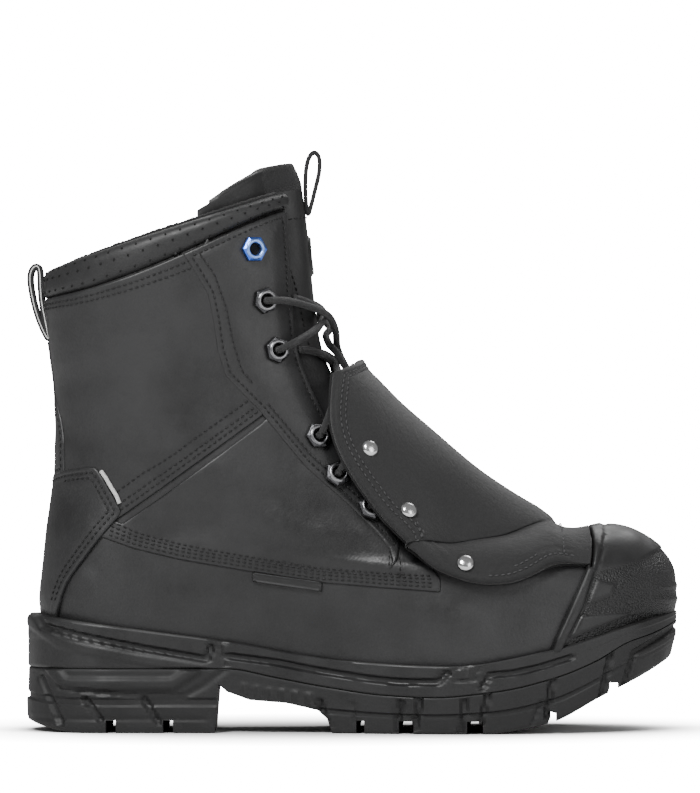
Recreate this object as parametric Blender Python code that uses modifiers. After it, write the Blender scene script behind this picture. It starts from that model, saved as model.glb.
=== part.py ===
"""Metatarsal guard boot for the right foot, an eight inch black work boot standing empty on its sole.

Metres, +Z up. The toe points along +X, the outer (lateral) side of the foot is -Y and the inner (medial) side +Y.
The origin lies on the floor under the middle of the outsole.

One function, surface(u, v), gives the outside of the last: v runs up from the bottom edge of the upper to the collar,
u runs round a level from the middle of the heel at 0 to the middle of the front at 1, negative on the lateral side.
Upper, tongue, collar, overlays, guard, eyelets and laces are all taken from it.
"""

import functools
import math

import bmesh
import bpy
from mathutils import Matrix, Vector

# Overall sizes
LENGTH = 0.318  # outsole, heel to toe
UPPER_HEIGHT = 0.237  # front of the collar above the bottom edge of the upper at the ball
BALL_WIDTH = 0.105  # upper across the ball
WAIST_WIDTH = 0.074  # upper across the waist
HEEL_WIDTH = 0.074  # upper across the heel
TOE_WIDTH = 0.100  # upper across the root of the toes
SHAFT_WIDTH = 0.092  # upper across the shaft
BALL_SEAT = 0.0272  # bottom edge of the upper above the floor at the ball
HEEL_RISE = 0.0247  # how much higher that edge lies at the back of the heel
TOE_SPRING = 0.0262  # how much higher it lies at the tip of the toe
WAIST_SHIFT = 0.0035  # the waist leans to the lateral side
TOE_SHIFT = 0.006  # the toe turns to the medial side
SOLE_CENTRE = 0.0012  # the outsole's middle lies this far to the medial side of the heel's
BALL_SKEW = 0.03  # share of the length by which the medial ball lies ahead of the lateral one

# Walls and clearances
WALL = 0.0028  # leather and lining of the upper
GAP = 0.0003  # between pieces that meet
OVERLAY_GAP = 0.0005  # between the upper and a piece that lies on its curve
EYESTAY_GAP = 0.0014  # and below the eyestays, whose ground is hollow at the instep
OVERLAY = 0.0018  # leather overlays

# Sole
SIDE_LEDGE = 0.0048  # how far the sole stands out past the upper's bottom edge at its sides
HEEL_LEDGE = 0.0097  # and at the heel
TOE_LEDGE = 0.0087  # and at the toe
EDGE = 0.0007  # small roundings of the rubber
BAND_HEIGHT = 0.0066  # raised band below the rim's edge
GROOVE_DEPTH = 0.0016
GROOVE_WIDTH = 0.0024
TREAD_DEPTH = 0.0062
CHANNEL_WIDTH = 0.011  # groove down the middle of the tread
CHEVRON = 0.007  # how far the middle of a cross groove lies ahead of its ends
INSOLE = 0.0045
INSOLE_LEVELS = 0.38  # levels of the last that the insole's thickness spans

# Upper's fittings
COLLAR_THICKNESS = 0.0105
COLLAR_PROUD = 0.0016
TONGUE_GAP = 0.0014  # between tongue and facings
TONGUE_THICKNESS = 0.0075
TONGUE_EDGE = 0.0030
TONGUE_OVERLAP = 0.011
TOE_CAP_THICKNESS = 0.0034
GUARD_THICKNESS = 0.0058
GUARD_LIFT = 0.0090  # between guard and upper over the laces
RIVET_RADIUS = 0.0039
RIVET_HEIGHT = 0.0021
EYELET_RADIUS = 0.0066  # corner of the hexagon
EYELET_HOLE = 0.0029
EYELET_HEIGHT = 0.0024
LACE_RADIUS = 0.0018
EYELET_SEAT = EYESTAY_GAP + OVERLAY + 2 * GAP
LACE_OVER_TONGUE = LACE_RADIUS + 4 * GAP
LACE_OVER_EYELET = EYELET_SEAT + EYELET_HEIGHT + 3 * GAP + LACE_RADIUS
TONGUE_RISE = 0.011  # how far the tongue stands over the front of the collar
TONGUE_LEAN = 0.006
LOOP_WIDTH = 0.016
LOOP_THICKNESS = 0.0016
PULL_WIDTH = 0.009
PULL_THICKNESS = 0.0012
PIPING_RADIUS = 0.0011
TAG_THICKNESS = 0.0012

# Facets round one side of a level, and the exponent of its rounded ends
SIDE_STEPS = 18
ROUNDNESS = 2.25

# Levels of the last, from the bottom edge to the collar. x is a share of LENGTH from the back of the outsole and
# height a share of UPPER_HEIGHT. Widths are shares of HEEL_WIDTH, WAIST_WIDTH, BALL_WIDTH and TOE_WIDTH, which turn
# into SHAFT_WIDTH as shaft goes from 0 to 1. The rounds are the shares of a level's length over which its ends
# close. follow says how far a level keeps the bottom edge's curve, crown how far it sinks beside its front end.
LEVEL_COLUMNS = (
    "back_x", "back_z", "front_x", "front_z", "heel", "waist", "ball", "toe",
    "back_round", "front_round", "follow", "crown", "shaft",
)
LEVELS = (
    (0.0305, 0.000, 0.9726, 0.000, 0.93, 0.93, 0.96, 0.96, 0.13, 0.24, 1.00, 0.000, 0.0),
    (0.0259, 0.055, 0.9817, 0.045, 0.98, 0.98, 1.00, 1.00, 0.13, 0.24, 1.00, 0.000, 0.0),
    (0.0290, 0.119, 0.9802, 0.101, 1.00, 1.04, 1.00, 1.00, 0.13, 0.24, 0.90, 0.000, 0.0),
    (0.0320, 0.173, 0.9634, 0.172, 1.00, 1.07, 0.98, 0.95, 0.14, 0.24, 0.75, 0.005, 0.0),
    (0.0343, 0.210, 0.9329, 0.228, 1.00, 1.08, 0.95, 0.86, 0.15, 0.25, 0.65, 0.014, 0.0),
    (0.0366, 0.245, 0.8857, 0.258, 0.99, 1.08, 0.91, 0.76, 0.16, 0.27, 0.55, 0.026, 0.0),
    (0.0396, 0.287, 0.8171, 0.263, 0.98, 1.07, 0.86, 0.70, 0.18, 0.30, 0.40, 0.030, 0.0),
    (0.0427, 0.329, 0.7561, 0.297, 0.97, 1.06, 0.82, 0.68, 0.20, 0.33, 0.30, 0.027, 0.0),
    (0.0457, 0.376, 0.6799, 0.359, 0.97, 1.05, 0.78, 0.66, 0.23, 0.36, 0.20, 0.020, 0.1),
    (0.0488, 0.441, 0.5960, 0.442, 0.95, 1.02, 0.79, 0.70, 0.27, 0.39, 0.10, 0.012, 0.3),
    (0.0488, 0.514, 0.5274, 0.520, 0.92, 0.98, 0.85, 0.80, 0.31, 0.42, 0.00, 0.005, 0.6),
    (0.0473, 0.575, 0.4787, 0.595, 0.90, 0.95, 0.90, 0.88, 0.35, 0.44, 0.00, 0.000, 0.9),
    (0.0412, 0.657, 0.4527, 0.677, 0.92, 0.96, 0.93, 0.90, 0.38, 0.45, 0.00, 0.000, 1.0),
    (0.0335, 0.718, 0.4421, 0.769, 0.95, 0.99, 0.96, 0.92, 0.40, 0.45, 0.00, 0.000, 1.0),
    (0.0290, 0.769, 0.4345, 0.872, 0.98, 1.02, 0.99, 0.94, 0.41, 0.45, 0.00, 0.000, 1.0),
    (0.0366, 0.835, 0.4253, 1.000, 0.99, 1.03, 1.00, 0.95, 0.42, 0.45, 0.00, 0.000, 1.0),
)
STATIONS = (0.0, 0.14, 0.42, 0.70, 0.90, 1.0)  # where along a level heel, waist, ball and toe widths hold

# Bottom edge of the upper from heel to toe: x share, then the share of HEEL_RISE and of TOE_SPRING added there.
SEAT = (
    (0.00, 1.00, 0.00), (0.16, 0.70, 0.00), (0.30, 0.47, 0.00), (0.50, 0.08, 0.00),
    (0.65, 0.00, 0.00), (0.80, 0.00, 0.29), (0.93, 0.00, 0.80), (1.00, 0.00, 1.06),
)

# Throat: level and half the gap between the facings, as a share of SHAFT_WIDTH.
THROAT = (
    (7.6, 0.00), (7.75, 0.15), (8.1, 0.23), (8.6, 0.28), (9.5, 0.30), (10.5, 0.295), (11.3, 0.29),
    (12.5, 0.285), (15.0, 0.28),
)
THROAT_BOTTOM = THROAT[0][0]


def between(low, high, share):
    """The value that lies the given share of the way from low to high."""
    return low + (high - low) * share


def clamp(value, low=0.0, high=1.0):
    return max(low, min(high, value))


def ease(value):
    """A smooth step from 0 to 1 as value goes from 0 to 1."""
    value = clamp(value)
    return value * value * (3 - 2 * value)


def through(points, x, column=1):
    """A smooth curve through the points of a table, whose first column is x, without overshoot."""
    if x <= points[0][0]:
        return points[0][column]
    if x >= points[-1][0]:
        return points[-1][column]
    i = max(k for k in range(len(points) - 1) if points[k][0] <= x)

    def slope(k):
        return (points[k + 1][column] - points[k][column]) / (points[k + 1][0] - points[k][0])

    def tangent(k):
        if k in (0, len(points) - 1):
            return slope(min(k, len(points) - 2))
        before, after = slope(k - 1), slope(k)
        return 0.0 if before * after <= 0 else 2 * before * after / (before + after)

    step = points[i + 1][0] - points[i][0]
    s = (x - points[i][0]) / step
    low, high = points[i][column], points[i + 1][column]
    return (
        low * (1 + 2 * s) * (1 - s) ** 2
        + tangent(i) * step * s * (1 - s) ** 2
        + high * s * s * (3 - 2 * s)
        + tangent(i + 1) * step * s * s * (s - 1)
    )


NUMBERED_LEVELS = [(number,) + row for number, row in enumerate(LEVELS)]

# Middle line of the last: x share, then shares of WAIST_SHIFT and TOE_SHIFT.
MIDDLE = ((0.00, 0.0, 0.0), (0.35, 1.0, 0.0), (0.65, 0.3, 0.2), (0.85, 0.0, 0.8), (1.00, 0.0, 1.0))

RIM_LEVEL = 0.50  # level of the upper that the midsole's rim reaches
ABOVE_RIM = 0.68  # lower edge of what lies on the upper above the rim
COLLAR_BACK = 14.05  # level of the seam below the padded collar at the back
COLLAR_FRONT = 14.75  # and at the front
BELOW_COLLAR = 13.0  # above this level the upper's grid leans to the collar's seam
TOP_LEVEL = len(LEVELS) - 1
UPPER_LEVELS = (
    0.0, RIM_LEVEL, ABOVE_RIM, 1.0, 2.0, 3.0, 4.0, 5.0, 6.0, 7.0, THROAT_BOTTOM, 7.75, 8.1, 8.6, 9.2,
    9.9, 10.6, 11.3, 12.0, BELOW_COLLAR, 13.7, COLLAR_FRONT,
)


@functools.lru_cache(maxsize=None)
def level(v):
    """The values of LEVELS, by column, at any height v between its rows."""
    return {name: through(NUMBERED_LEVELS, v, 1 + column) for column, name in enumerate(LEVEL_COLUMNS)}


def seat(x_share):
    """Height of the upper's bottom edge."""
    return BALL_SEAT + HEEL_RISE * through(SEAT, x_share, 1) + TOE_SPRING * through(SEAT, x_share, 2)


def closing(share):
    """The rounded end of a level, from 0 at its tip to 1 where it has its full width."""
    return (1 - (1 - clamp(share)) ** ROUNDNESS) ** (1 / ROUNDNESS)


def half_width(share, row, side):
    """Half the width of a level at a share of its length, on the medial side (1) or the lateral (-1)."""
    named = (HEEL_WIDTH, HEEL_WIDTH, WAIST_WIDTH, BALL_WIDTH, TOE_WIDTH, TOE_WIDTH)
    columns = ("heel", "heel", "waist", "ball", "toe", "toe")
    skew = (0.0, 0.0, 0.5, 1.0, 0.3, 0.0)
    points = [
        (
            at + lead * side * BALL_SKEW / 2,
            row[column] * between(width, SHAFT_WIDTH, row["shaft"]) / 2,
        )
        for at, lead, column, width in zip(STATIONS, skew, columns, named)
    ]
    round_off = closing(share / row["back_round"]) * closing((1 - share) / row["front_round"])
    return through(points, share) * round_off


def surface(u, v):
    """A point on the outside of the last."""
    row = level(clamp(v, 0, TOP_LEVEL))
    side = 1 if u > 0 else -1
    share = (1 - math.cos(math.pi * abs(u))) / 2
    x_share = between(row["back_x"], row["front_x"], share)
    middle = TOE_SHIFT * through(MIDDLE, x_share, 2) - WAIST_SHIFT * through(MIDDLE, x_share, 1)
    sink = row["crown"] * 27 / 4 * share * share * (1 - share)
    height = UPPER_HEIGHT * (between(row["back_z"], row["front_z"], share) - sink)
    return Vector(
        (
            (x_share - 0.5) * LENGTH,
            side * half_width(share, row, side) + middle * (1 - row["shaft"]) - SOLE_CENTRE,
            BALL_SEAT + row["follow"] * (seat(x_share) - BALL_SEAT) + height,
        )
    )


def normal(u, v):
    """The outward direction of the last at a point."""
    step = 0.01
    low, high = clamp(v - step, 0, TOP_LEVEL - step), clamp(v + step, step, TOP_LEVEL)
    along = surface(wrap(u + step), v) - surface(wrap(u - step), v)
    up = surface(u, high) - surface(u, low)
    return up.cross(along).normalized()


def wrap(u):
    """Carries u past the front end at 1 on to the other side."""
    return u - 2 if u > 1 else u + 2 if u < -1 else u


def lifted(u, v, offset):
    """A point at the given distance outside the last."""
    return surface(u, v) + normal(u, v) * offset


def in_side_view(x_share, z_share):
    """The place in metres of a point of the side view, given by shares of LENGTH and UPPER_HEIGHT."""
    return (x_share - 0.5) * LENGTH, BALL_SEAT + z_share * UPPER_HEIGHT


def halve(test, low, high):
    """Where test turns from true to false between low and high."""
    for _ in range(24):
        middle = (low + high) / 2
        low, high = (middle, high) if test(middle) else (low, middle)
    return (low + high) / 2


def locate(x_share, z_share, side, offset=0.0):
    """The u and v of the lifted point that the side view shows at a place."""
    x, z = in_side_view(x_share, z_share)
    u, v = 0.7 * side, 8.0
    for _ in range(12):
        v = halve(lambda at: lifted(u, at, offset).z < z, 0.0, TOP_LEVEL)
        u = side * halve(lambda at: lifted(at * side, v, offset).x < x, 0.02, 0.99)
    return u, v


@functools.lru_cache(maxsize=None)
def facing(v):
    """The u of the facing's edge at level v, or 1 below the throat."""
    if v <= THROAT_BOTTOM:
        return 1.0
    gap = through(THROAT, v) * SHAFT_WIDTH
    return halve(lambda at: abs(surface(at, v).y) > gap, 0.5, 1.0)


# Collections, materials and meshes


def new_collection(name):
    collection = bpy.data.collections.new(name)
    bpy.context.scene.collection.children.link(collection)
    return collection


def paint(obj, color, roughness, metallic=0.0):
    material = bpy.data.materials.new(obj.name + "_material")
    material.use_nodes = True
    shader = material.node_tree.nodes["Principled BSDF"]
    shader.inputs["Base Color"].default_value = (*color, 1.0)
    shader.inputs["Roughness"].default_value = roughness
    shader.inputs["Metallic"].default_value = metallic
    obj.data.materials.append(material)


LEATHER = ((0.020, 0.020, 0.021), 0.42)
NUBUCK = ((0.017, 0.017, 0.018), 0.75)
RUBBER = ((0.014, 0.014, 0.014), 0.55)
TEXTILE = ((0.012, 0.012, 0.013), 0.85)
GUNMETAL = ((0.16, 0.16, 0.17), 0.30, 0.9)
BLUE = ((0.05, 0.12, 0.50), 0.30, 0.8)
CHROME = ((0.72, 0.72, 0.72), 0.14, 1.0)
REFLECTIVE = ((0.78, 0.78, 0.76), 0.35)


def finish_mesh(name, mesh, finish):
    """Links a mesh to the boot as a smooth object of its own."""
    obj = bpy.data.objects.new(name, mesh)
    boot.objects.link(obj)
    mesh.shade_smooth()
    mesh.set_sharp_from_angle(angle=math.radians(35))
    paint(obj, *finish)
    return obj


def mesh_of(shape, name):
    mesh = bpy.data.meshes.new(name)
    shape.to_mesh(mesh)
    shape.free()
    return mesh


def solidify(obj, thickness, offset):
    modifier = obj.modifiers.new("Wall", "SOLIDIFY")
    modifier.thickness = thickness
    modifier.offset = offset
    modifier.use_even_offset = True
    modifier.use_rim = True
    return modifier


def boolean(obj, other, operation, solver="EXACT"):
    modifier = obj.modifiers.new(operation.title() + " " + other.name, "BOOLEAN")
    modifier.operation = operation
    modifier.object = other
    modifier.solver = solver


def grid_surface(levels, columns, point, merge=0.00002):
    """An open surface through point(column, v), its faces outwards."""
    shape = bmesh.new()
    rows = [[shape.verts.new(point(column, v)) for column in columns] for v in levels]
    for low, high in zip(rows, rows[1:]):
        for i in range(len(columns) - 1):
            shape.faces.new((low[i], high[i], high[i + 1], low[i + 1]))
    bmesh.ops.remove_doubles(shape, verts=shape.verts, dist=merge)
    bmesh.ops.dissolve_degenerate(shape, edges=shape.edges, dist=merge)
    return shape


def collar_seam(u):
    """The level of the seam below the collar."""
    return between(COLLAR_BACK, COLLAR_FRONT, ease((abs(u) - 0.2) / 0.6))


def on_upper(column, v, offset=0.0):
    """A point of the upper's own grid, or at a distance outside it."""
    u = wrap(facing(v) * column / SIDE_STEPS)
    if v > BELOW_COLLAR:
        share = (v - BELOW_COLLAR) / (COLLAR_FRONT - BELOW_COLLAR)
        v = between(BELOW_COLLAR, collar_seam(u), share)
    return lifted(u, v, offset)


def side_cutter(name, outline, y_low, y_high):
    """A block with the given outline in the side view, in shares, from one y to another."""
    shape = bmesh.new()
    corners = [in_side_view(*corner) for corner in outline]
    face = shape.faces.new([shape.verts.new((x, y_low, z)) for x, z in corners])
    pushed = bmesh.ops.extrude_face_region(shape, geom=[face])
    moved = [item for item in pushed["geom"] if isinstance(item, bmesh.types.BMVert)]
    bmesh.ops.translate(shape, verts=moved, vec=(0, y_high - y_low, 0))
    bmesh.ops.recalc_face_normals(shape, faces=shape.faces)
    obj = bpy.data.objects.new(name, mesh_of(shape, name))
    cutters.objects.link(obj)
    obj.hide_render = True
    obj.display_type = "WIRE"
    return obj


FAR = 0.12  # half the width of a block that cuts the whole boot


def panel(name, levels, columns, outline, thickness, finish, side=0, lift=OVERLAY_GAP, solver="EXACT"):
    """A piece of leather or rubber that lies on the upper: its own shell, cut to an outline of the side view."""
    shape = grid_surface(levels, columns, lambda column, v: on_upper(column, v, lift))
    obj = finish_mesh(name, mesh_of(shape, name), finish)
    solidify(obj, thickness, 1.0)
    low, high = (-FAR, -GAP) if side < 0 else (GAP, FAR) if side > 0 else (-FAR, FAR)
    boolean(obj, side_cutter(name + "_outline", outline, low, high), "INTERSECT", solver)
    return obj


# Sole

# Line between midsole and outsole from heel to toe: x share, height over the floor as a share of BALL_SEAT.
PARTING = (
    (0.00, 1.141), (0.14, 1.141), (0.31, 1.141), (0.385, 0.985), (0.46, 0.819), (0.55, 0.680), (0.62, 0.645),
    (0.72, 0.749), (0.81, 0.993), (0.87, 1.272), (0.92, 1.603), (0.96, 1.760), (1.00, 1.969),
)
# Underside of the tread, as shares of TOE_SPRING over the floor
UNDERSIDE = ((0.00, 0.03), (0.04, 0.0), (0.70, 0.0), (0.80, 0.20), (0.88, 0.68), (0.94, 1.03), (1.00, 1.42))
# Side view of the arch: heel breast, the hollow of the arch, and the start of the forefoot
ARCH = (
    (0.290, -0.130), (0.297, -0.014), (0.310, -0.030), (0.345, -0.047), (0.400, -0.053), (0.448, -0.068),
    (0.462, -0.085), (0.474, -0.130),
)
# Cross grooves of the tread: x share, width share of LENGTH
HEEL_GROOVES = ((0.131, 0.016), (0.220, 0.016))
FORE_GROOVES = ((0.510, 0.013), (0.580, 0.024), (0.686, 0.026), (0.800, 0.014), (0.890, 0.016))
# Side of the outsole: share of the height from underside to parting, then how far it stands out, as a share
# of SIDE_LEDGE at the sides, of HEEL_LEDGE at the heel and of TOE_LEDGE at the toe.
SOLE_SIDE = (
    (0.00, 0.62, 0.70, 0.35), (0.08, 0.88, 0.97, 0.70), (0.40, 1.00, 1.00, 0.86), (0.44, 0.80, 0.82, 0.90),
    (0.52, 0.80, 0.82, 0.92), (0.56, 1.10, 0.92, 0.97), (0.97, 1.10, 0.90, 1.00), (1.00, 0.96, 0.82, 0.98),
)


def sole_point(u, out_side, out_heel, out_toe):
    """A point round the upper's bottom edge, moved out by the given widths at the sides, the heel and the toe."""
    edge = surface(u, 0)
    before, after = surface(wrap(u - 0.01), 0), surface(wrap(u + 0.01), 0)
    outward = Vector((before.y - after.y, after.x - before.x, 0)).normalized()
    share = (1 - math.cos(math.pi * abs(u))) / 2
    heel, toe = ease((0.16 - share) / 0.16), ease((share - 0.80) / 0.20)
    return edge + outward * (out_side * (1 - heel - toe) + out_heel * heel + out_toe * toe)


def sole_share(point):
    return point.x / LENGTH + 0.5


def parting(point):
    return BALL_SEAT * through(PARTING, sole_share(point))


def underside(point):
    return TOE_SPRING * through(UNDERSIDE, sole_share(point))


def stack(name, rings, finish):
    """A closed solid from rings of points, bottom first, whose ends are laddered from side to side."""
    shape = bmesh.new()
    loops = [[shape.verts.new(point) for point in ring] for ring in rings]
    count = len(loops[0])
    for low, high in zip(loops, loops[1:]):
        for i in range(count):
            j = (i + 1) % count
            shape.faces.new((low[i], high[i], high[j], low[j]))
    half = count // 2
    for loop, turned in ((loops[0], False), (loops[-1], True)):
        for i in range(half):
            corners = [loop[half + i], loop[half - i], loop[half - i - 1], loop[(half + i + 1) % count]]
            corners = list(dict.fromkeys(corners))
            shape.faces.new(corners[::-1] if turned else corners)
    bmesh.ops.recalc_face_normals(shape, faces=shape.faces)
    return finish_mesh(name, mesh_of(shape, name), finish)


def sole_ring(row_out, height):
    """A ring of the sole: heel at the middle of the list, the toe at its start."""
    ring = []
    for column in range(-SIDE_STEPS, SIDE_STEPS):
        point = sole_point(column / SIDE_STEPS, *row_out)
        point.z = height(point, column / SIDE_STEPS)
        ring.append(point)
    return ring


def upper_ring(v, offset, drop=0.0):
    """A ring that follows the upper at level v, or at a distance outside it."""
    columns = range(-SIDE_STEPS, SIDE_STEPS)
    return [lifted(wrap(column / SIDE_STEPS), v, offset) - Vector((0, 0, drop)) for column in columns]


def bar_cutter(name, x_share, width_share, reach, floor, top, bend=CHEVRON):
    """A bent bar across the tread, for a groove between two lugs."""
    middle, half = (x_share - 0.5) * LENGTH, width_share * LENGTH / 2
    shape = bmesh.new()
    outline = [
        (middle - half, -reach), (middle - half + bend, 0), (middle - half, reach),
        (middle + half, reach), (middle + half + bend, 0), (middle + half, -reach),
    ]
    face = shape.faces.new([shape.verts.new((x, y, floor)) for x, y in outline])
    pushed = bmesh.ops.extrude_face_region(shape, geom=[face])
    moved = [item for item in pushed["geom"] if isinstance(item, bmesh.types.BMVert)]
    for vert in moved:
        vert.co.z = top
    bmesh.ops.recalc_face_normals(shape, faces=shape.faces)
    obj = bpy.data.objects.new(name, mesh_of(shape, name))
    cutters.objects.link(obj)
    obj.hide_render = True
    obj.display_type = "WIRE"
    return obj


def make_outsole():
    rings = []
    for height, side, heel, toe in SOLE_SIDE:
        out = (side * SIDE_LEDGE, heel * HEEL_LEDGE, toe * TOE_LEDGE)
        rings.append(sole_ring(out, lambda point, u, at=height: between(underside(point), parting(point), at)))
    sole = stack("outsole", rings, RUBBER)
    boolean(sole, side_cutter("arch_cutter", ARCH, -FAR, FAR), "DIFFERENCE")
    for number, (x_share, width) in enumerate(HEEL_GROOVES + FORE_GROOVES):
        low = TOE_SPRING * through(UNDERSIDE, x_share)
        cutter = bar_cutter(f"groove_cutter_{number + 1}", x_share, width, FAR, -FAR, low + TREAD_DEPTH)
        boolean(sole, cutter, "DIFFERENCE")
    for name, start, end in (("heel", 0.045, 0.270), ("fore", 0.49, 0.90)):
        shape = bmesh.new()
        bmesh.ops.create_cube(shape, size=1.0)
        size = ((end - start) * LENGTH, CHANNEL_WIDTH, TREAD_DEPTH * 0.9)
        bmesh.ops.scale(shape, verts=shape.verts, vec=size)
        place = (((start + end) / 2 - 0.5) * LENGTH, 0.0, 0.05 * TREAD_DEPTH)
        bmesh.ops.translate(shape, verts=shape.verts, vec=place)
        channel = bpy.data.objects.new(name + "_channel_cutter", mesh_of(shape, name + "_channel_cutter"))
        cutters.objects.link(channel)
        channel.hide_render = True
        channel.display_type = "WIRE"
        boolean(sole, channel, "DIFFERENCE")
    return sole


def make_midsole():
    ledge = (SIDE_LEDGE, HEEL_LEDGE * 0.72, TOE_LEDGE)
    inset = tuple(value - GROOVE_DEPTH for value in ledge)
    rounded = tuple(value - 0.3 * GROOVE_DEPTH for value in ledge)

    def rim(point, u):
        return surface(u, RIM_LEVEL).z

    def band(point, u):
        return max(rim(point, u) - BAND_HEIGHT, parting(point) + GAP + 3 * EDGE)

    rings = [
        sole_ring(ledge, lambda point, u: parting(point) + GAP),
        sole_ring(ledge, lambda point, u: max(parting(point) + GAP + EDGE, band(point, u) - GROOVE_WIDTH)),
        sole_ring(inset, lambda point, u: max(parting(point) + GAP + 2 * EDGE, band(point, u) - 0.8 * GROOVE_WIDTH)),
        sole_ring(inset, lambda point, u: band(point, u)),
        sole_ring(ledge, lambda point, u: band(point, u) + EDGE),
        sole_ring(ledge, lambda point, u: rim(point, u) - EDGE),
        sole_ring(rounded, rim),
        upper_ring(RIM_LEVEL, OVERLAY_GAP),
        upper_ring(0.0, OVERLAY_GAP, drop=GAP),
    ]
    return stack("midsole", rings, RUBBER)


def make_insole():
    inside = -(WALL + OVERLAY_GAP)
    low = upper_ring(0.0, inside)
    high = upper_ring(INSOLE_LEVELS, inside)
    for bottom, top in zip(low, high):
        top.z = bottom.z + INSOLE
    return stack("insole", [low, high], TEXTILE)


# Upper and the pieces that lie on it


def make_upper():
    columns = range(-SIDE_STEPS, SIDE_STEPS + 1)
    shape = grid_surface(UPPER_LEVELS, columns, on_upper)
    upper = finish_mesh("upper", mesh_of(shape, "upper"), LEATHER)
    solidify(upper, WALL, -1.0)
    return upper


def collar_point(angle, u):
    """A point of the padded collar's section, at an angle round it."""
    low, high = surface(u, collar_seam(u)), surface(u, TOP_LEVEL)
    out = normal(u, collar_seam(u))
    height = (high - low).length
    up = (high - low).normalized()
    middle = low + up * (height / 2 + GAP) - out * (COLLAR_THICKNESS / 2 - COLLAR_PROUD)
    across = math.copysign(abs(math.cos(angle)) ** 0.8, math.cos(angle))
    along = math.copysign(abs(math.sin(angle)) ** 0.6, math.sin(angle))
    return middle + out * across * COLLAR_THICKNESS / 2 + up * along * height / 2


def make_collar():
    """The padded band round the top, a closed roll from facing to facing."""
    shape = bmesh.new()
    around = 8
    sections = []
    for column in range(-SIDE_STEPS, SIDE_STEPS + 1):
        u = facing(TOP_LEVEL) * column / SIDE_STEPS
        angles = [2 * math.pi * (k + 0.5) / around for k in range(around)]
        sections.append([shape.verts.new(collar_point(angle, u)) for angle in angles])
    for one, other in zip(sections, sections[1:]):
        for k in range(around):
            m = (k + 1) % around
            shape.faces.new((one[k], one[m], other[m], other[k]))
    shape.faces.new(sections[0])
    shape.faces.new(sections[-1][::-1])
    bmesh.ops.recalc_face_normals(shape, faces=shape.faces)
    return finish_mesh("collar", mesh_of(shape, "collar"), LEATHER)


# Tongue: level, how far its edge reaches under the facing in shares of TONGUE_OVERLAP, and how far it stands over
# the collar in shares of TONGUE_RISE
TONGUE_FOOT = 7.9  # below this level the tongue lies under the vamp
TONGUE = (
    (7.4, 0.5, 0.0), (TONGUE_FOOT, 0.7, 0.0), (8.6, 1.0, 0.0), (9.2, 1.1, 0.0), (9.9, 1.2, 0.0), (10.6, 1.3, 0.0),
    (11.3, 1.5, 0.0), (12.0, 1.8, 0.0), (13.0, 2.3, 0.0), (13.7, 2.7, 0.0), (14.3, 3.2, 0.0),
    (15.0, 3.8, 0.2), (15.0, 3.8, 0.75), (15.0, 3.3, 1.0),
)
TONGUE_STEPS = 16


def tongue_point(k, row, inner):
    """A point of the tongue: k runs across it from the medial edge to the lateral one."""
    v, overlap, rise = row
    opened = facing(max(v, TONGUE_FOOT))
    edge = opened
    a_step = (surface(edge, v) - surface(edge - 0.01, v)).length
    edge -= 0.01 * overlap * TONGUE_OVERLAP / a_step
    across = 2 * k / TONGUE_STEPS - 1
    u = wrap(1 + (1 - edge) * across)
    inside = clamp((1 - abs(u)) / (1 - opened))
    deep = WALL + TONGUE_GAP
    if v > BELOW_COLLAR:
        pad = COLLAR_THICKNESS - COLLAR_PROUD + 2 * OVERLAY_GAP
        deep = between(deep, pad, ease((v - BELOW_COLLAR) / (COLLAR_FRONT - BELOW_COLLAR - 0.3)))
    depth = deep * max(ease((inside - 0.35) / 0.5), 1 - ease((v - TONGUE_FOOT) / 0.6))
    thick = between(TONGUE_THICKNESS, TONGUE_EDGE, across * across)
    point = lifted(u, v, -depth - (thick if inner else 0.0))
    point.z += rise * TONGUE_RISE * (1 - 0.55 * abs(across) ** 1.5)
    point.x -= rise * TONGUE_LEAN * (1 - abs(across))
    return point


def make_tongue():
    shape = bmesh.new()
    outer = [[shape.verts.new(tongue_point(k, row, False)) for k in range(TONGUE_STEPS + 1)] for row in TONGUE]
    inner = [[shape.verts.new(tongue_point(k, row, True)) for k in range(TONGUE_STEPS + 1)] for row in TONGUE]
    last = TONGUE_STEPS
    for j in range(len(TONGUE) - 1):
        for k in range(last):
            shape.faces.new((outer[j][k], outer[j][k + 1], outer[j + 1][k + 1], outer[j + 1][k]))
            shape.faces.new((inner[j][k], inner[j + 1][k], inner[j + 1][k + 1], inner[j][k + 1]))
        for k in (0, last):
            shape.faces.new((outer[j][k], outer[j + 1][k], inner[j + 1][k], inner[j][k]))
    for j in (0, len(TONGUE) - 1):
        for k in range(last):
            shape.faces.new((outer[j][k], outer[j][k + 1], inner[j][k + 1], inner[j][k]))
    bmesh.ops.recalc_face_normals(shape, faces=shape.faces)
    return finish_mesh("tongue", mesh_of(shape, "tongue"), TEXTILE)


# Outlines in the side view, in shares of LENGTH and UPPER_HEIGHT
COUNTER = (
    (-0.05, 0.405), (0.046, 0.409), (0.066, 0.421), (0.107, 0.430), (0.149, 0.344), (0.150, 0.332),
    (0.123, 0.290), (0.093, 0.239), (0.069, 0.194), (0.056, 0.149), (0.055, 0.090), (-0.05, 0.090),
)
BACKSTRIP = (
    (-0.05, 0.417), (0.046, 0.421), (0.063, 0.433), (0.0625, 0.501), (0.043, 0.606), (0.040, 0.663),
    (-0.05, 0.663),
)
EYESTAY = (
    (0.225, 0.900), (0.232, 0.880), (0.256, 0.835), (0.280, 0.779), (0.288, 0.728), (0.294, 0.669), (0.306, 0.614),
    (0.338, 0.569), (0.358, 0.542), (0.428, 0.428), (0.497, 0.346), (0.537, 0.290), (0.558, 0.250),
    (0.620, 0.275), (0.660, 0.320), (0.680, 0.400), (0.600, 1.100), (0.225, 1.100),
)
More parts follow.
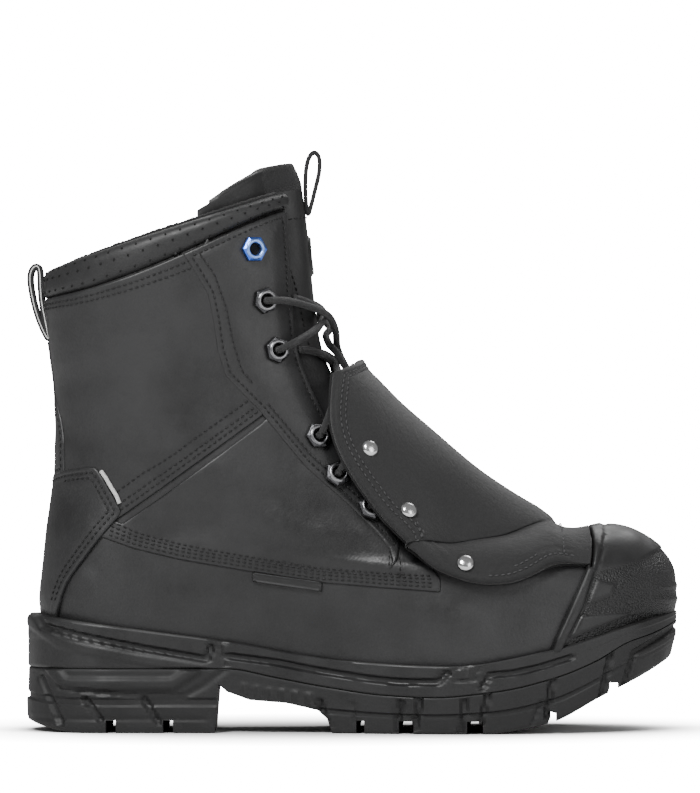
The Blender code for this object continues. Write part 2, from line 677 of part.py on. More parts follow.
TOE_CAP = (
    (0.866, 0.340), (0.866, 0.2945), (0.857, 0.225), (0.849, 0.200), (0.816, 0.104), (0.796, 0.050),
    (0.770, -0.050), (1.050, -0.050), (1.050, 0.420), (0.866, 0.420),
)
GUARD = (
    (0.474, 0.653), (0.470, 0.569), (0.468, 0.518), (0.479, 0.458), (0.500, 0.399), (0.524, 0.340),
    (0.576, 0.266), (0.614, 0.225), (0.643, 0.209), (0.680, 0.192), (0.718, 0.190), (0.747, 0.196),
    (0.776, 0.213), (0.799, 0.231), (0.820, 0.237), (0.853, 0.231), (0.862, 0.294), (0.862, 0.450),
    (0.700, 0.750), (0.560, 0.750), (0.500, 0.672),
)
TAG = ((0.349, 0.209), (0.456, 0.190), (0.453, 0.170), (0.3476, 0.188))
PIPING = ((0.122, 0.421), (0.129, 0.405), (0.136, 0.389), (0.143, 0.373), (0.150, 0.356))

# Eyelets and rivets in the side view, from the top down
EYELETS = ((0.346, 0.872), (0.363, 0.767), (0.381, 0.665), (0.444, 0.487), (0.474, 0.409), (0.524, 0.340))
RIVETS = ((0.517, 0.454), (0.578, 0.325), (0.672, 0.237))
RIVET_SEATS = (3.0, 0.8, 4.0)  # shares of GAP under each rivet, where the guard bends away from its own lift

GUARD_HUG = {-1: 0.82, 1: 0.45}  # share of its lift that the guard loses beside the ball, by side
# Guard's height over the upper: x share, shares of GUARD_LIFT
GUARD_HEIGHT = (
    (0.40, 1.30), (0.50, 1.24), (0.60, 1.10), (0.68, 0.98), (0.76, 0.75), (0.80, 0.48), (0.84, 0.22), (0.88, 0.08),
)
GUARD_LEVELS = (2.6, 3.6, 4.5, 5.3, 6.1, 6.9, 7.8, 8.8, 9.8, 10.8, 11.8, 12.9)
GUARD_STEPS = 20

# Middle lines of the two pull loops in the side view
HEEL_LOOP = (
    (0.0358, 0.683), (0.0229, 0.714), (0.0130, 0.753), (0.0069, 0.790), (0.0046, 0.820), (0.0091, 0.837),
    (0.0168, 0.842), (0.0206, 0.831), (0.0213, 0.790), (0.0236, 0.761), (0.0297, 0.720),
)
TONGUE_LOOP = (
    (0.4315, 0.940), (0.4285, 0.980), (0.4280, 1.019), (0.4300, 1.052), (0.4360, 1.072), (0.4440, 1.077),
    (0.4505, 1.064), (0.4500, 1.035), (0.4440, 1.003), (0.4380, 0.970),
)


def rows_between(low, high):
    """The upper's own levels from low to high."""
    return [v for v in UPPER_LEVELS if low <= v <= high]


def make_overlays():
    half = range(-SIDE_STEPS // 2 - 1, SIDE_STEPS // 2 + 2)
    panel("heel_counter", rows_between(ABOVE_RIM, 9.2), half, COUNTER, OVERLAY, LEATHER)
    panel("backstrip", rows_between(7.0, 13.0), range(-5, 6), BACKSTRIP, OVERLAY, LEATHER)
    rear = SIDE_STEPS // 4
    eyestay_rows = rows_between(3.0, 15.0)
    medial, lateral = range(rear, SIDE_STEPS + 1), range(-SIDE_STEPS, 1 - rear)
    for name, half, side in (("eyestay_medial", medial, 1), ("eyestay_lateral", lateral, -1)):
        # The exact solver leaves nothing of the lateral one.
        panel(name, eyestay_rows, half, EYESTAY, OVERLAY, LEATHER, side, EYESTAY_GAP, "MANIFOLD")
    round_toe = range(SIDE_STEPS // 2 + 1, 3 * SIDE_STEPS // 2)
    panel("toe_cap", rows_between(ABOVE_RIM, 6.0), round_toe, TOE_CAP, TOE_CAP_THICKNESS, RUBBER)
    panel("side_tag", rows_between(1.0, 4.0), range(-SIDE_STEPS, 0), TAG, TAG_THICKNESS, RUBBER, -1)


def guard_lift(u, v):
    """The guard's distance from the upper, less beside the ball of the foot than over it."""
    x_share = surface(u, v).x / LENGTH + 0.5
    beside = ease((0.95 - abs(u)) / 0.3) * ease((x_share - 0.57) / 0.09)
    hug = GUARD_HUG[1 if u > 0 else -1]
    return GUARD_LIFT * through(GUARD_HEIGHT, x_share) * (1 - hug * beside)


def guard_point(column, v):
    u = wrap(between(0.5, 1.5, column / GUARD_STEPS))
    return lifted(u, v, guard_lift(u, v))


def make_guard():
    shape = grid_surface(GUARD_LEVELS, range(GUARD_STEPS + 1), guard_point)
    guard = finish_mesh("met_guard", mesh_of(shape, "met_guard"), NUBUCK)
    solidify(guard, GUARD_THICKNESS, 1.0)
    boolean(guard, side_cutter("met_guard_outline", GUARD, -FAR, FAR), "INTERSECT")
    return guard


def standing(obj, u, v, offset):
    """Puts an object on the upper with its own Z outwards."""
    out = normal(u, v)
    turn = out.to_track_quat("Z", "Y").to_matrix().to_4x4()
    obj.matrix_world = Matrix.Translation(surface(u, v) + out * offset) @ turn


def rivet_mesh():
    shape = bmesh.new()
    bmesh.ops.create_uvsphere(shape, u_segments=10, v_segments=6, radius=RIVET_RADIUS)
    bmesh.ops.scale(shape, verts=shape.verts, vec=(1, 1, RIVET_HEIGHT / RIVET_RADIUS))
    everything = shape.verts[:] + shape.edges[:] + shape.faces[:]
    bmesh.ops.bisect_plane(shape, geom=everything, plane_co=(0, 0, 0), plane_no=(0, 0, -1), clear_outer=True)
    rim = [edge for edge in shape.edges if edge.is_boundary]
    bmesh.ops.contextual_create(shape, geom=rim)
    return mesh_of(shape, "rivet")


def eyelet_mesh():
    """A six-sided collar with a hole, its upper edge chamfered."""
    shape = bmesh.new()
    rings = (
        (EYELET_RADIUS, 0.0), (EYELET_RADIUS, 0.6 * EYELET_HEIGHT), (0.8 * EYELET_RADIUS, EYELET_HEIGHT),
        (EYELET_HOLE, EYELET_HEIGHT), (EYELET_HOLE, 0.0),
    )
    loops = [
        [
            shape.verts.new((radius * math.cos(k * math.pi / 3), radius * math.sin(k * math.pi / 3), z))
            for k in range(6)
        ]
        for radius, z in rings
    ]
    for one, other in zip(loops, loops[1:] + loops[:1]):
        for k in range(6):
            m = (k + 1) % 6
            shape.faces.new((one[k], one[m], other[m], other[k]))
    bmesh.ops.recalc_face_normals(shape, faces=shape.faces)
    return mesh_of(shape, "eyelet")


def make_hardware():
    for side, side_name in ((-1, "lateral"), (1, "medial")):
        for number, place in enumerate(EYELETS):
            eyelet = finish_mesh(f"eyelet_{side_name}_{number + 1}", eyelet_mesh(), BLUE if number == 0 else GUNMETAL)
            standing(eyelet, *locate(*place, side), EYELET_SEAT)
        for number, (place, under) in enumerate(zip(RIVETS, RIVET_SEATS)):
            rivet = finish_mesh(f"rivet_{side_name}_{number + 1}", rivet_mesh(), CHROME)
            u, v = locate(*place, side, GUARD_LIFT)
            standing(rivet, u, v, guard_lift(u, v) + GUARD_THICKNESS + under * GAP)


def tube_mesh(name, points, radius, resolution):
    """A round tube through points, as a closed mesh."""
    curve = bpy.data.curves.new(name, "CURVE")
    curve.dimensions = "3D"
    curve.bevel_depth = radius
    curve.bevel_resolution = resolution
    curve.use_fill_caps = True
    spline = curve.splines.new("POLY")
    spline.points.add(len(points) - 1)
    for item, point in zip(spline.points, points):
        item.co = (*point, 1.0)
    guide = bpy.data.objects.new(name + "_guide", curve)
    bpy.context.scene.collection.objects.link(guide)
    graph = bpy.context.evaluated_depsgraph_get()
    mesh = bpy.data.meshes.new_from_object(guide.evaluated_get(graph))
    bpy.data.objects.remove(guide)
    shape = bmesh.new()
    shape.from_mesh(mesh)
    bmesh.ops.remove_doubles(shape, verts=shape.verts, dist=0.00002)
    bpy.data.meshes.remove(mesh)
    return mesh_of(shape, name)


STRAND_STEPS = 10
STRAND_RISE = (0.1, 0.5, 1.0, 1.1)  # levels by which a crossing's middle lies over its ends


def strand(side, start, end, rise):
    """Points of a lace from an eyelet, over the tongue, to where it goes under the facing across."""
    under = facing(end[1]) + 0.02
    points = []
    for k in range(STRAND_STEPS + 1):
        share = k / STRAND_STEPS
        u = wrap(between(abs(start[0]), 2 - under, share))
        if share < 0.5:
            height = between(LACE_OVER_TONGUE, LACE_OVER_EYELET, (1 - 2 * share) ** 0.8)
        else:
            height = between(LACE_OVER_TONGUE, LACE_OVER_TONGUE / 2, 2 * share - 1)
        v = between(start[1], end[1], share) + rise * (1 - (2 * share - 1) ** 2)
        points.append(lifted(side * u, v, height))
    return points


def make_laces():
    places = {side: [locate(*place, side) for place in EYELETS] for side in (-1, 1)}
    for number in range(1, len(EYELETS) - 1):
        name = f"lace_crossing_{number}"
        rise = STRAND_RISE[number - 1]
        strands = [strand(side, places[side][number + 1], places[-side][number], rise) for side in (-1, 1)]
        lace = finish_mesh(name, tube_mesh(name, strands[0], LACE_RADIUS, 1), TEXTILE)
        second = bpy.data.objects.new(name + "_second", tube_mesh(name, strands[1], LACE_RADIUS, 1))
        cutters.objects.link(second)
        second.hide_render = True
        second.display_type = "WIRE"
        boolean(lace, second, "UNION")
    low = places[1][-1][1]
    edge = facing(low) + 0.035
    bar = []
    for k in range(STRAND_STEPS + 1):
        share = k / STRAND_STEPS
        v = low + STRAND_RISE[-1] * (1 - (2 * share - 1) ** 2)
        bar.append(lifted(wrap(between(edge, 2 - edge, share)), v, LACE_OVER_TONGUE))
    finish_mesh("lace_bar", tube_mesh("lace_bar", bar, LACE_RADIUS, 1), TEXTILE)


# Routes of the two free lace ends, in metres: out of the second eyelet, over the tongue, across each other and down
# behind the guard
LACE_END_LATERAL = (
    (-0.0398, -0.0455, 0.2090), (-0.0343, -0.0433, 0.2092), (-0.0286, -0.0393, 0.2085), (-0.0228, -0.0341, 0.2070),
    (-0.0178, -0.0280, 0.2054), (-0.0137, -0.0210, 0.2036), (-0.0106, -0.0130, 0.2010), (-0.0088, -0.0052, 0.1974),
    (-0.0077, 0.0010, 0.1930), (-0.0075, 0.0048, 0.1885), (-0.0062, 0.0060, 0.1838), (-0.0040, 0.0056, 0.1790),
    (-0.0012, 0.0051, 0.1745), (0.0016, 0.0048, 0.1704),
)
LACE_END_MEDIAL = (
    (-0.0398, 0.0431, 0.2090), (-0.0343, 0.0410, 0.2080), (-0.0284, 0.0372, 0.2058), (-0.0222, 0.0325, 0.2034),
    (-0.0166, 0.0271, 0.2012), (-0.0126, 0.0200, 0.1988), (-0.0108, 0.0116, 0.1960), (-0.0128, 0.0038, 0.1925),
    (-0.0115, -0.0022, 0.1888), (-0.0078, -0.0057, 0.1845), (-0.0048, -0.0072, 0.1798), (-0.0018, -0.0074, 0.1752),
    (0.0012, -0.0072, 0.1712),
)
LACE_POINTS = 18  # along each free end


def curve_through(route, count):
    """Points at even steps of a smooth curve through a route."""
    table = [(number, *point) for number, point in enumerate(route)]
    last = len(route) - 1
    return [[through(table, last * k / (count - 1), axis) for axis in (1, 2, 3)] for k in range(count)]


def make_lace_ends():
    for name, route in (("lace_end_lateral", LACE_END_LATERAL), ("lace_end_medial", LACE_END_MEDIAL)):
        curve = bpy.data.curves.new(name, "CURVE")
        curve.dimensions = "3D"
        curve.bevel_depth = LACE_RADIUS
        curve.bevel_resolution = 2
        curve.use_fill_caps = True
        spline = curve.splines.new("POLY")
        spline.points.add(LACE_POINTS - 1)
        for item, point in zip(spline.points, curve_through(route, LACE_POINTS)):
            item.co = (*point, 1.0)
        obj = bpy.data.objects.new(name, curve)
        boot.objects.link(obj)
        paint(obj, *TEXTILE)


def make_band(name, line, width, thickness, finish):
    """Webbing sewn into a closed loop, from its middle line in the side view."""
    middle = [Vector((in_side_view(*place)[0], 0, in_side_view(*place)[1])) for place in line]
    count = len(middle)
    shape = bmesh.new()
    sections = []
    for i, point in enumerate(middle):
        along = (middle[(i + 1) % count] - middle[i - 1]).normalized()
        out = along.cross(Vector((0, 1, 0)))
        corners = [(-1, -1), (1, -1), (1, 1), (-1, 1)]
        sections.append(
            [
                shape.verts.new(point + out * a * thickness / 2 + Vector((0, b * width / 2, 0)))
                for a, b in corners
            ]
        )
    for i in range(count):
        one, other = sections[i], sections[(i + 1) % count]
        for k in range(4):
            m = (k + 1) % 4
            shape.faces.new((one[k], one[m], other[m], other[k]))
    bmesh.ops.recalc_face_normals(shape, faces=shape.faces)
    return finish_mesh(name, mesh_of(shape, name), finish)


def make_piping():
    for side, side_name in ((-1, "lateral"), (1, "medial")):
        name = "reflective_piping_" + side_name
        height = OVERLAY_GAP + PIPING_RADIUS
        points = [lifted(*locate(*place, side, height), height) for place in PIPING]
        finish_mesh(name, tube_mesh(name, points, PIPING_RADIUS, 1), REFLECTIVE)


for other in list(bpy.data.objects):
    bpy.data.objects.remove(other, do_unlink=True)
boot = new_collection("metatarsal_guard_boot")
cutters = new_collection("cutters")
cutters.hide_render = True

make_outsole()
make_midsole()
make_insole()
make_upper()
make_collar()
make_tongue()
make_overlays()
make_guard()
make_hardware()
make_laces()
make_lace_ends()
make_band("heel_loop", HEEL_LOOP, LOOP_WIDTH, LOOP_THICKNESS, TEXTILE)
make_band("tongue_loop", TONGUE_LOOP, PULL_WIDTH, PULL_THICKNESS, TEXTILE)
make_piping()
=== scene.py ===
"""Looks of a metatarsal guard boot for the right foot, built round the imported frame.

Metres, +Z up. The toe points along +X and the outer (lateral) side of the foot is -Y. The boot stands on z = 0.
Panels, seams, laces, hardware and the sole's side are made here, from the same last as the frame.
"""

import math
import random

import bmesh
import bpy
import numpy as np
from mathutils import Matrix, Vector
from mathutils.geometry import delaunay_2d_cdt


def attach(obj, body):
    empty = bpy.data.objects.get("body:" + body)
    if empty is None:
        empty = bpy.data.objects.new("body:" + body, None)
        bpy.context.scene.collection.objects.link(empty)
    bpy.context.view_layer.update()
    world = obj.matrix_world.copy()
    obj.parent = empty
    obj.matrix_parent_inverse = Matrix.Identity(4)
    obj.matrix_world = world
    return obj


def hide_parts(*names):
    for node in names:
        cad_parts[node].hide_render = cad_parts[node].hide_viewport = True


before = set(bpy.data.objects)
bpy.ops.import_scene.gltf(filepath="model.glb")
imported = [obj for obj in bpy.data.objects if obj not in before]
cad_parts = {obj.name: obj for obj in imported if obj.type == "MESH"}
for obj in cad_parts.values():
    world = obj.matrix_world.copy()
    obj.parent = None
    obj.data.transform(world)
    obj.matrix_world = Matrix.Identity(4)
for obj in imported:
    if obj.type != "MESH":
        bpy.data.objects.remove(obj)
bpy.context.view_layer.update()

# Sizes of the last and its walls, as in the frame
LENGTH = 0.318
UPPER_HEIGHT = 0.237
BALL_WIDTH = 0.105
WAIST_WIDTH = 0.074
HEEL_WIDTH = 0.074
TOE_WIDTH = 0.100
SHAFT_WIDTH = 0.092
BALL_SEAT = 0.0272
HEEL_RISE = 0.0247
TOE_SPRING = 0.0262
WAIST_SHIFT = 0.0035
TOE_SHIFT = 0.006
SOLE_CENTRE = 0.0012
BALL_SKEW = 0.03
WALL = 0.0028
ROUNDNESS = 2.25

LEVEL_COLUMNS = (
    "back_x", "back_z", "front_x", "front_z", "heel", "waist", "ball", "toe",
    "back_round", "front_round", "follow", "crown", "shaft",
)
LEVELS = (
    (0.0305, 0.000, 0.9726, 0.000, 0.93, 0.93, 0.96, 0.96, 0.13, 0.24, 1.00, 0.000, 0.0),
    (0.0259, 0.055, 0.9817, 0.045, 0.98, 0.98, 1.00, 1.00, 0.13, 0.24, 1.00, 0.000, 0.0),
    (0.0290, 0.119, 0.9802, 0.101, 1.00, 1.04, 1.00, 1.00, 0.13, 0.24, 0.90, 0.000, 0.0),
    (0.0320, 0.173, 0.9634, 0.172, 1.00, 1.07, 0.98, 0.95, 0.14, 0.24, 0.75, 0.005, 0.0),
    (0.0343, 0.210, 0.9329, 0.228, 1.00, 1.08, 0.95, 0.86, 0.15, 0.25, 0.65, 0.014, 0.0),
    (0.0366, 0.245, 0.8857, 0.258, 0.99, 1.08, 0.91, 0.76, 0.16, 0.27, 0.55, 0.026, 0.0),
    (0.0396, 0.287, 0.8171, 0.263, 0.98, 1.07, 0.86, 0.70, 0.18, 0.30, 0.40, 0.030, 0.0),
    (0.0427, 0.329, 0.7561, 0.297, 0.97, 1.06, 0.82, 0.68, 0.20, 0.33, 0.30, 0.027, 0.0),
    (0.0457, 0.376, 0.6799, 0.359, 0.97, 1.05, 0.78, 0.66, 0.23, 0.36, 0.20, 0.020, 0.1),
    (0.0488, 0.441, 0.5960, 0.442, 0.95, 1.02, 0.79, 0.70, 0.27, 0.39, 0.10, 0.012, 0.3),
    (0.0488, 0.514, 0.5274, 0.520, 0.92, 0.98, 0.85, 0.80, 0.31, 0.42, 0.00, 0.005, 0.6),
    (0.0473, 0.575, 0.4787, 0.595, 0.90, 0.95, 0.90, 0.88, 0.35, 0.44, 0.00, 0.000, 0.9),
    (0.0412, 0.657, 0.4527, 0.677, 0.92, 0.96, 0.93, 0.90, 0.38, 0.45, 0.00, 0.000, 1.0),
    (0.0335, 0.718, 0.4421, 0.769, 0.95, 0.99, 0.96, 0.92, 0.40, 0.45, 0.00, 0.000, 1.0),
    (0.0290, 0.769, 0.4345, 0.872, 0.98, 1.02, 0.99, 0.94, 0.41, 0.45, 0.00, 0.000, 1.0),
    (0.0366, 0.835, 0.4253, 1.000, 0.99, 1.03, 1.00, 0.95, 0.42, 0.45, 0.00, 0.000, 1.0),
)
STATIONS = (0.0, 0.14, 0.42, 0.70, 0.90, 1.0)
SEAT = (
    (0.00, 1.00, 0.00), (0.16, 0.70, 0.00), (0.30, 0.47, 0.00), (0.50, 0.08, 0.00),
    (0.65, 0.00, 0.00), (0.80, 0.00, 0.29), (0.93, 0.00, 0.80), (1.00, 0.00, 1.06),
)
THROAT = (
    (7.6, 0.00), (7.75, 0.15), (8.1, 0.23), (8.6, 0.28), (9.5, 0.30), (10.5, 0.295), (11.3, 0.29),
    (12.5, 0.285), (15.0, 0.28),
)
THROAT_BOTTOM = THROAT[0][0]
MIDDLE = ((0.00, 0.0, 0.0), (0.35, 1.0, 0.0), (0.65, 0.3, 0.2), (0.85, 0.0, 0.8), (1.00, 0.0, 1.0))
COLLAR_BACK = 14.05
COLLAR_FRONT = 14.75
BELOW_COLLAR = 13.0
TOP_LEVEL = len(LEVELS) - 1
RIM_LEVEL = 0.50
LATERAL, MEDIAL = -1, 1
SIDES = ((LATERAL, "lateral"), (MEDIAL, "medial"))


def between(low, high, share):
    return low + (high - low) * share


def clamp(value, low=0.0, high=1.0):
    return np.clip(value, low, high)


def ease(value):
    """A smooth step from 0 to 1 as value goes from 0 to 1."""
    value = clamp(value)
    return value * value * (3 - 2 * value)


def hermite(at, values, x):
    """A smooth curve without overshoot through values at the given places, the last axis of both."""
    slope = np.diff(values, axis=-1) / np.diff(at)
    before, after = slope[..., :-1], slope[..., 1:]
    total = np.where(before * after > 0, before + after, 1.0)
    inner = np.where(before * after > 0, 2 * before * after / total, 0.0)
    tangent = np.concatenate([slope[..., :1], inner, slope[..., -1:]], axis=-1)
    x = clamp(x, at[0], at[-1])
    i = clamp(np.searchsorted(at, x, side="right") - 1, 0, len(at) - 2)
    step = at[i + 1] - at[i]
    s = (x - at[i]) / step

    def pick(table, index):
        if table.ndim == 1:
            return table[index]
        return np.take_along_axis(table, index[..., None], axis=-1)[..., 0]

    low, high = pick(values, i), pick(values, i + 1)
    return (
        low * (1 + 2 * s) * (1 - s) ** 2
        + pick(tangent, i) * step * s * (1 - s) ** 2
        + high * s * s * (3 - 2 * s)
        + pick(tangent, i + 1) * step * s * s * (s - 1)
    )


def through(points, x, column=1):
    """A smooth curve through a table's points, whose first column is x."""
    table = np.array(points, float)
    return hermite(table[:, 0], table[:, column], np.asarray(x, float))


def level(v):
    numbered = np.arange(len(LEVELS), dtype=float)
    table = np.array(LEVELS)
    return {name: hermite(numbered, table[:, column], v) for column, name in enumerate(LEVEL_COLUMNS)}


def seat(x_share):
    return BALL_SEAT + HEEL_RISE * through(SEAT, x_share, 1) + TOE_SPRING * through(SEAT, x_share, 2)


def closing(share):
    return (1 - (1 - clamp(share)) ** ROUNDNESS) ** (1 / ROUNDNESS)


def half_width(share, row, side):
    """Half the width of a level at a share of its length, on one side."""
    widths = np.array((HEEL_WIDTH, HEEL_WIDTH, WAIST_WIDTH, BALL_WIDTH, TOE_WIDTH, TOE_WIDTH))
    columns = ("heel", "heel", "waist", "ball", "toe", "toe")
    skew = np.array((0.0, 0.0, 0.5, 1.0, 0.3, 0.0))
    at = np.array(STATIONS) + skew * side * BALL_SKEW / 2
    shares = np.stack([row[column] for column in columns], axis=-1)
    values = shares * between(widths, SHAFT_WIDTH, row["shaft"][..., None]) / 2
    round_off = closing(share / row["back_round"]) * closing((1 - share) / row["front_round"])
    return hermite(at, values, share) * round_off


def surface(u, v):
    """Points on the outside of the last, from arrays of u and v."""
    u, v = np.broadcast_arrays(np.asarray(u, float), np.asarray(v, float))
    row = level(clamp(v, 0, TOP_LEVEL))
    share = (1 - np.cos(np.pi * np.abs(u))) / 2
    x_share = between(row["back_x"], row["front_x"], share)
    middle = TOE_SHIFT * through(MIDDLE, x_share, 2) - WAIST_SHIFT * through(MIDDLE, x_share, 1)
    sink = row["crown"] * 27 / 4 * share * share * (1 - share)
    height = UPPER_HEIGHT * (between(row["back_z"], row["front_z"], share) - sink)
    side = np.where(u > 0, 1.0, -1.0)
    width = np.where(u > 0, half_width(share, row, 1), half_width(share, row, -1))
    return np.stack(
        [
            (x_share - 0.5) * LENGTH,
            side * width + middle * (1 - row["shaft"]) - SOLE_CENTRE,
            BALL_SEAT + row["follow"] * (seat(x_share) - BALL_SEAT) + height,
        ],
        axis=-1,
    )


def wrap(u):
    """Carries u past the front end at 1 on to the other side."""
    return np.where(u > 1, u - 2, np.where(u < -1, u + 2, u))


def unit(vectors):
    return vectors / np.maximum(np.linalg.norm(vectors, axis=-1, keepdims=True), 1e-12)


def slopes(u, v):
    """The directions in which the last runs along u and along v, in metres for one of each."""
    step = 0.01
    v = np.asarray(v, float)
    low, high = clamp(v - step, 0, TOP_LEVEL - step), clamp(v + step, step, TOP_LEVEL)
    along = (surface(wrap(u + step), v) - surface(wrap(u - step), v)) / (2 * step)
    up = (surface(u, high) - surface(u, low)) / (high - low)[..., None]
    return along, up


def normal(u, v):
    """The outward direction of the last."""
    along, up = slopes(np.asarray(u, float), v)
    return unit(np.cross(up, along))


def lifted(u, v, offset):
    """Points at a distance outside the last."""
    return surface(u, v) + normal(u, v) * np.asarray(offset)[..., None]


def in_side_view(x_share, z_share):
    """The place in metres of a point of the side view, given by shares of LENGTH and UPPER_HEIGHT."""
    return (np.asarray(x_share) - 0.5) * LENGTH, BALL_SEAT + np.asarray(z_share) * UPPER_HEIGHT


def halve(test, low, high, rounds=18):
    """Where test turns from true to false between low and high, for each item of an array."""
    for _ in range(rounds):
        middle = (low + high) / 2
        held = test(middle)
        low, high = np.where(held, middle, low), np.where(held, high, middle)
    return (low + high) / 2


def locate(places, side):
    """The u and v of the last's points that the side view shows at the given places."""
    places = np.array(places, float)
    x, z = in_side_view(places[:, 0], places[:, 1])
    u, v = np.full(len(x), 0.7 * side), np.full(len(x), 8.0)
    zero, full = np.zeros(len(x)), np.full(len(x), 1.0)
    for _ in range(8):
        v = halve(lambda at: surface(u, at)[..., 2] < z, zero, full * TOP_LEVEL)
        u = side * halve(lambda at: surface(at * side, v)[..., 0] < x, full * 0.02, full * 0.99)
    return u, v


FACING_LEVELS = np.linspace(THROAT_BOTTOM + 0.005, TOP_LEVEL, 160)
FACING_EDGE = halve(
    lambda at: np.abs(surface(at, FACING_LEVELS)[..., 1]) > through(THROAT, FACING_LEVELS) * SHAFT_WIDTH,
    np.full(len(FACING_LEVELS), 0.5),
    np.full(len(FACING_LEVELS), 1.0),
)


def facing(v):
    """The u of the facing's edge at level v, or 1 below the throat."""
    return np.where(v <= THROAT_BOTTOM, 1.0, np.interp(v, FACING_LEVELS, FACING_EDGE))


def collar_seam(u):
    """The level of the seam below the collar."""
    return between(COLLAR_BACK, COLLAR_FRONT, ease((np.abs(u) - 0.2) / 0.6))


# Camera, floor and light

FRAME_PIXELS = (700, 793)
PIXEL = 0.000485  # metres of the boot that one pixel of the view shows
FRAME_MIDDLE = (-0.00097, 0.1627)  # x and z at the middle of the view
NEAR_SIDE = -0.030  # y of the plane on which PIXEL holds
CAMERA_BACK = 3.2


def aim(obj, target):
    obj.rotation_euler = (Vector(target) - obj.location).to_track_quat("-Z", "Y").to_euler()


def link(obj):
    bpy.context.scene.collection.objects.link(obj)
    return obj


camera = link(bpy.data.objects.new("camera", bpy.data.cameras.new("camera")))
camera.location = (FRAME_MIDDLE[0], NEAR_SIDE - CAMERA_BACK, FRAME_MIDDLE[1])
camera.data.lens = camera.data.sensor_width * CAMERA_BACK / (PIXEL * max(FRAME_PIXELS))
camera.data.clip_start, camera.data.clip_end = 0.1, 60.0
aim(camera, (FRAME_MIDDLE[0], 0, FRAME_MIDDLE[1]))
bpy.context.scene.camera = camera


def to_metres(pixels):
    """x and z for places measured in the view."""
    px, py = np.array(pixels, float).T
    x = (px - FRAME_PIXELS[0] / 2) * PIXEL + FRAME_MIDDLE[0]
    z = (FRAME_PIXELS[1] / 2 - py) * PIXEL + FRAME_MIDDLE[1]
    return np.stack([x, z], axis=-1)


def to_shares(pixels):
    """Shares of LENGTH and UPPER_HEIGHT for places measured in the view."""
    x, z = to_metres(pixels).T
    return np.stack([x / LENGTH + 0.5, (z - BALL_SEAT) / UPPER_HEIGHT], axis=-1)


def area_light(name, place, target, size, watts):
    data = bpy.data.lights.new(name, "AREA")
    data.shape = "RECTANGLE"
    data.size, data.size_y = size
    data.energy = watts
    light = link(bpy.data.objects.new(name, data))
    light.location = place
    aim(light, target)


# Materials


def shader_of(name):
    """A new material and its Principled shader."""
    material = bpy.data.materials.new(name)
    material.use_nodes = True
    return material, material.node_tree.nodes["Principled BSDF"]


def node(tree, kind, **settings):
    made = tree.nodes.new(kind)
    for key, value in settings.items():
        if key in made.inputs:
            made.inputs[key].default_value = value
        else:
            setattr(made, key, value)
    return made


def wire(tree, start, end):
    tree.links.new(start, end)


def new_group(name, outputs):
    """A shader node group with the given outputs, its output node and its object coordinates."""
    tree = bpy.data.node_groups.new(name, "ShaderNodeTree")
    for label, kind in outputs:
        tree.interface.new_socket(name=label, in_out="OUTPUT", socket_type="NodeSocket" + kind)
    out = tree.nodes.new("NodeGroupOutput")
    place = tree.nodes.new("ShaderNodeTexCoord").outputs["Object"]
    return tree, out, place


def noise(tree, place, scale, detail=3.0, roughness=0.55):
    made = node(tree, "ShaderNodeTexNoise")
    made.inputs["Scale"].default_value = scale
    made.inputs["Detail"].default_value = detail
    made.inputs["Roughness"].default_value = roughness
    wire(tree, place, made.inputs["Vector"])
    return made.outputs["Fac"]


def cells(tree, place, scale, feature="F1"):
    made = node(tree, "ShaderNodeTexVoronoi")
    made.feature = feature
    made.inputs["Scale"].default_value = scale
    wire(tree, place, made.inputs["Vector"])
    return made.outputs["Distance"]


def mapped(tree, value, low, high, to_low=0.0, to_high=1.0):
    made = node(tree, "ShaderNodeMapRange")
    made.inputs["From Min"].default_value = low
    made.inputs["From Max"].default_value = high
    made.inputs["To Min"].default_value = to_low
    made.inputs["To Max"].default_value = to_high
    wire(tree, value, made.inputs["Value"])
    return made.outputs["Result"]


def maths(tree, operation, first, second):
    made = node(tree, "ShaderNodeMath")
    made.operation = operation
    for socket, value in zip(made.inputs, (first, second)):
        if isinstance(value, (int, float)):
            socket.default_value = value
        else:
            wire(tree, value, socket)
    return made.outputs["Value"]


def bumped(tree, height, strength, distance, before=None):
    made = node(tree, "ShaderNodeBump")
    made.inputs["Strength"].default_value = strength
    made.inputs["Distance"].default_value = distance
    wire(tree, height, made.inputs["Height"])
    if before is not None:
        wire(tree, before, made.inputs["Normal"])
    return made.outputs["Normal"]


def ramp(tree, factor, low, high):
    """A grey or colour between two, by a factor."""
    made = node(tree, "ShaderNodeMix")
    made.data_type = "RGBA"
    made.inputs[6].default_value = (*low, 1.0)
    made.inputs[7].default_value = (*high, 1.0)
    wire(tree, factor, made.inputs[0])
    return made.outputs[2]


def grain_group():
    """Smooth pull-up leather: pebbles, fine pores, soft unevenness and rubbed patches."""
    tree, out, place = new_group("leather_grain", (("Normal", "Vector"), ("Tone", "Float"), ("Wear", "Float")))
    pebbles = cells(tree, place, 950.0, "SMOOTH_F1")
    pores = noise(tree, place, 1500.0, 2.0)
    broad = noise(tree, place, 55.0, 4.0, 0.6)
    patches = noise(tree, place, 14.0, 3.0, 0.5)
    streaks = noise(tree, place, 190.0, 5.0, 0.7)
    fine = maths(tree, "ADD", maths(tree, "MULTIPLY", pebbles, 0.6), maths(tree, "MULTIPLY", pores, 0.4))
    first = bumped(tree, fine, 0.22, 0.0004)
    second = bumped(tree, broad, 0.25, 0.0016, first)
    wire(tree, second, out.inputs["Normal"])
    tone = maths(tree, "ADD", maths(tree, "MULTIPLY", patches, 0.7), maths(tree, "MULTIPLY", broad, 0.3))
    wire(tree, mapped(tree, tone, 0.38, 0.62), out.inputs["Tone"])
    wear = maths(tree, "ADD", maths(tree, "MULTIPLY", streaks, 0.5), maths(tree, "MULTIPLY", patches, 0.5))
    wire(tree, mapped(tree, wear, 0.35, 0.68), out.inputs["Wear"])
    return tree


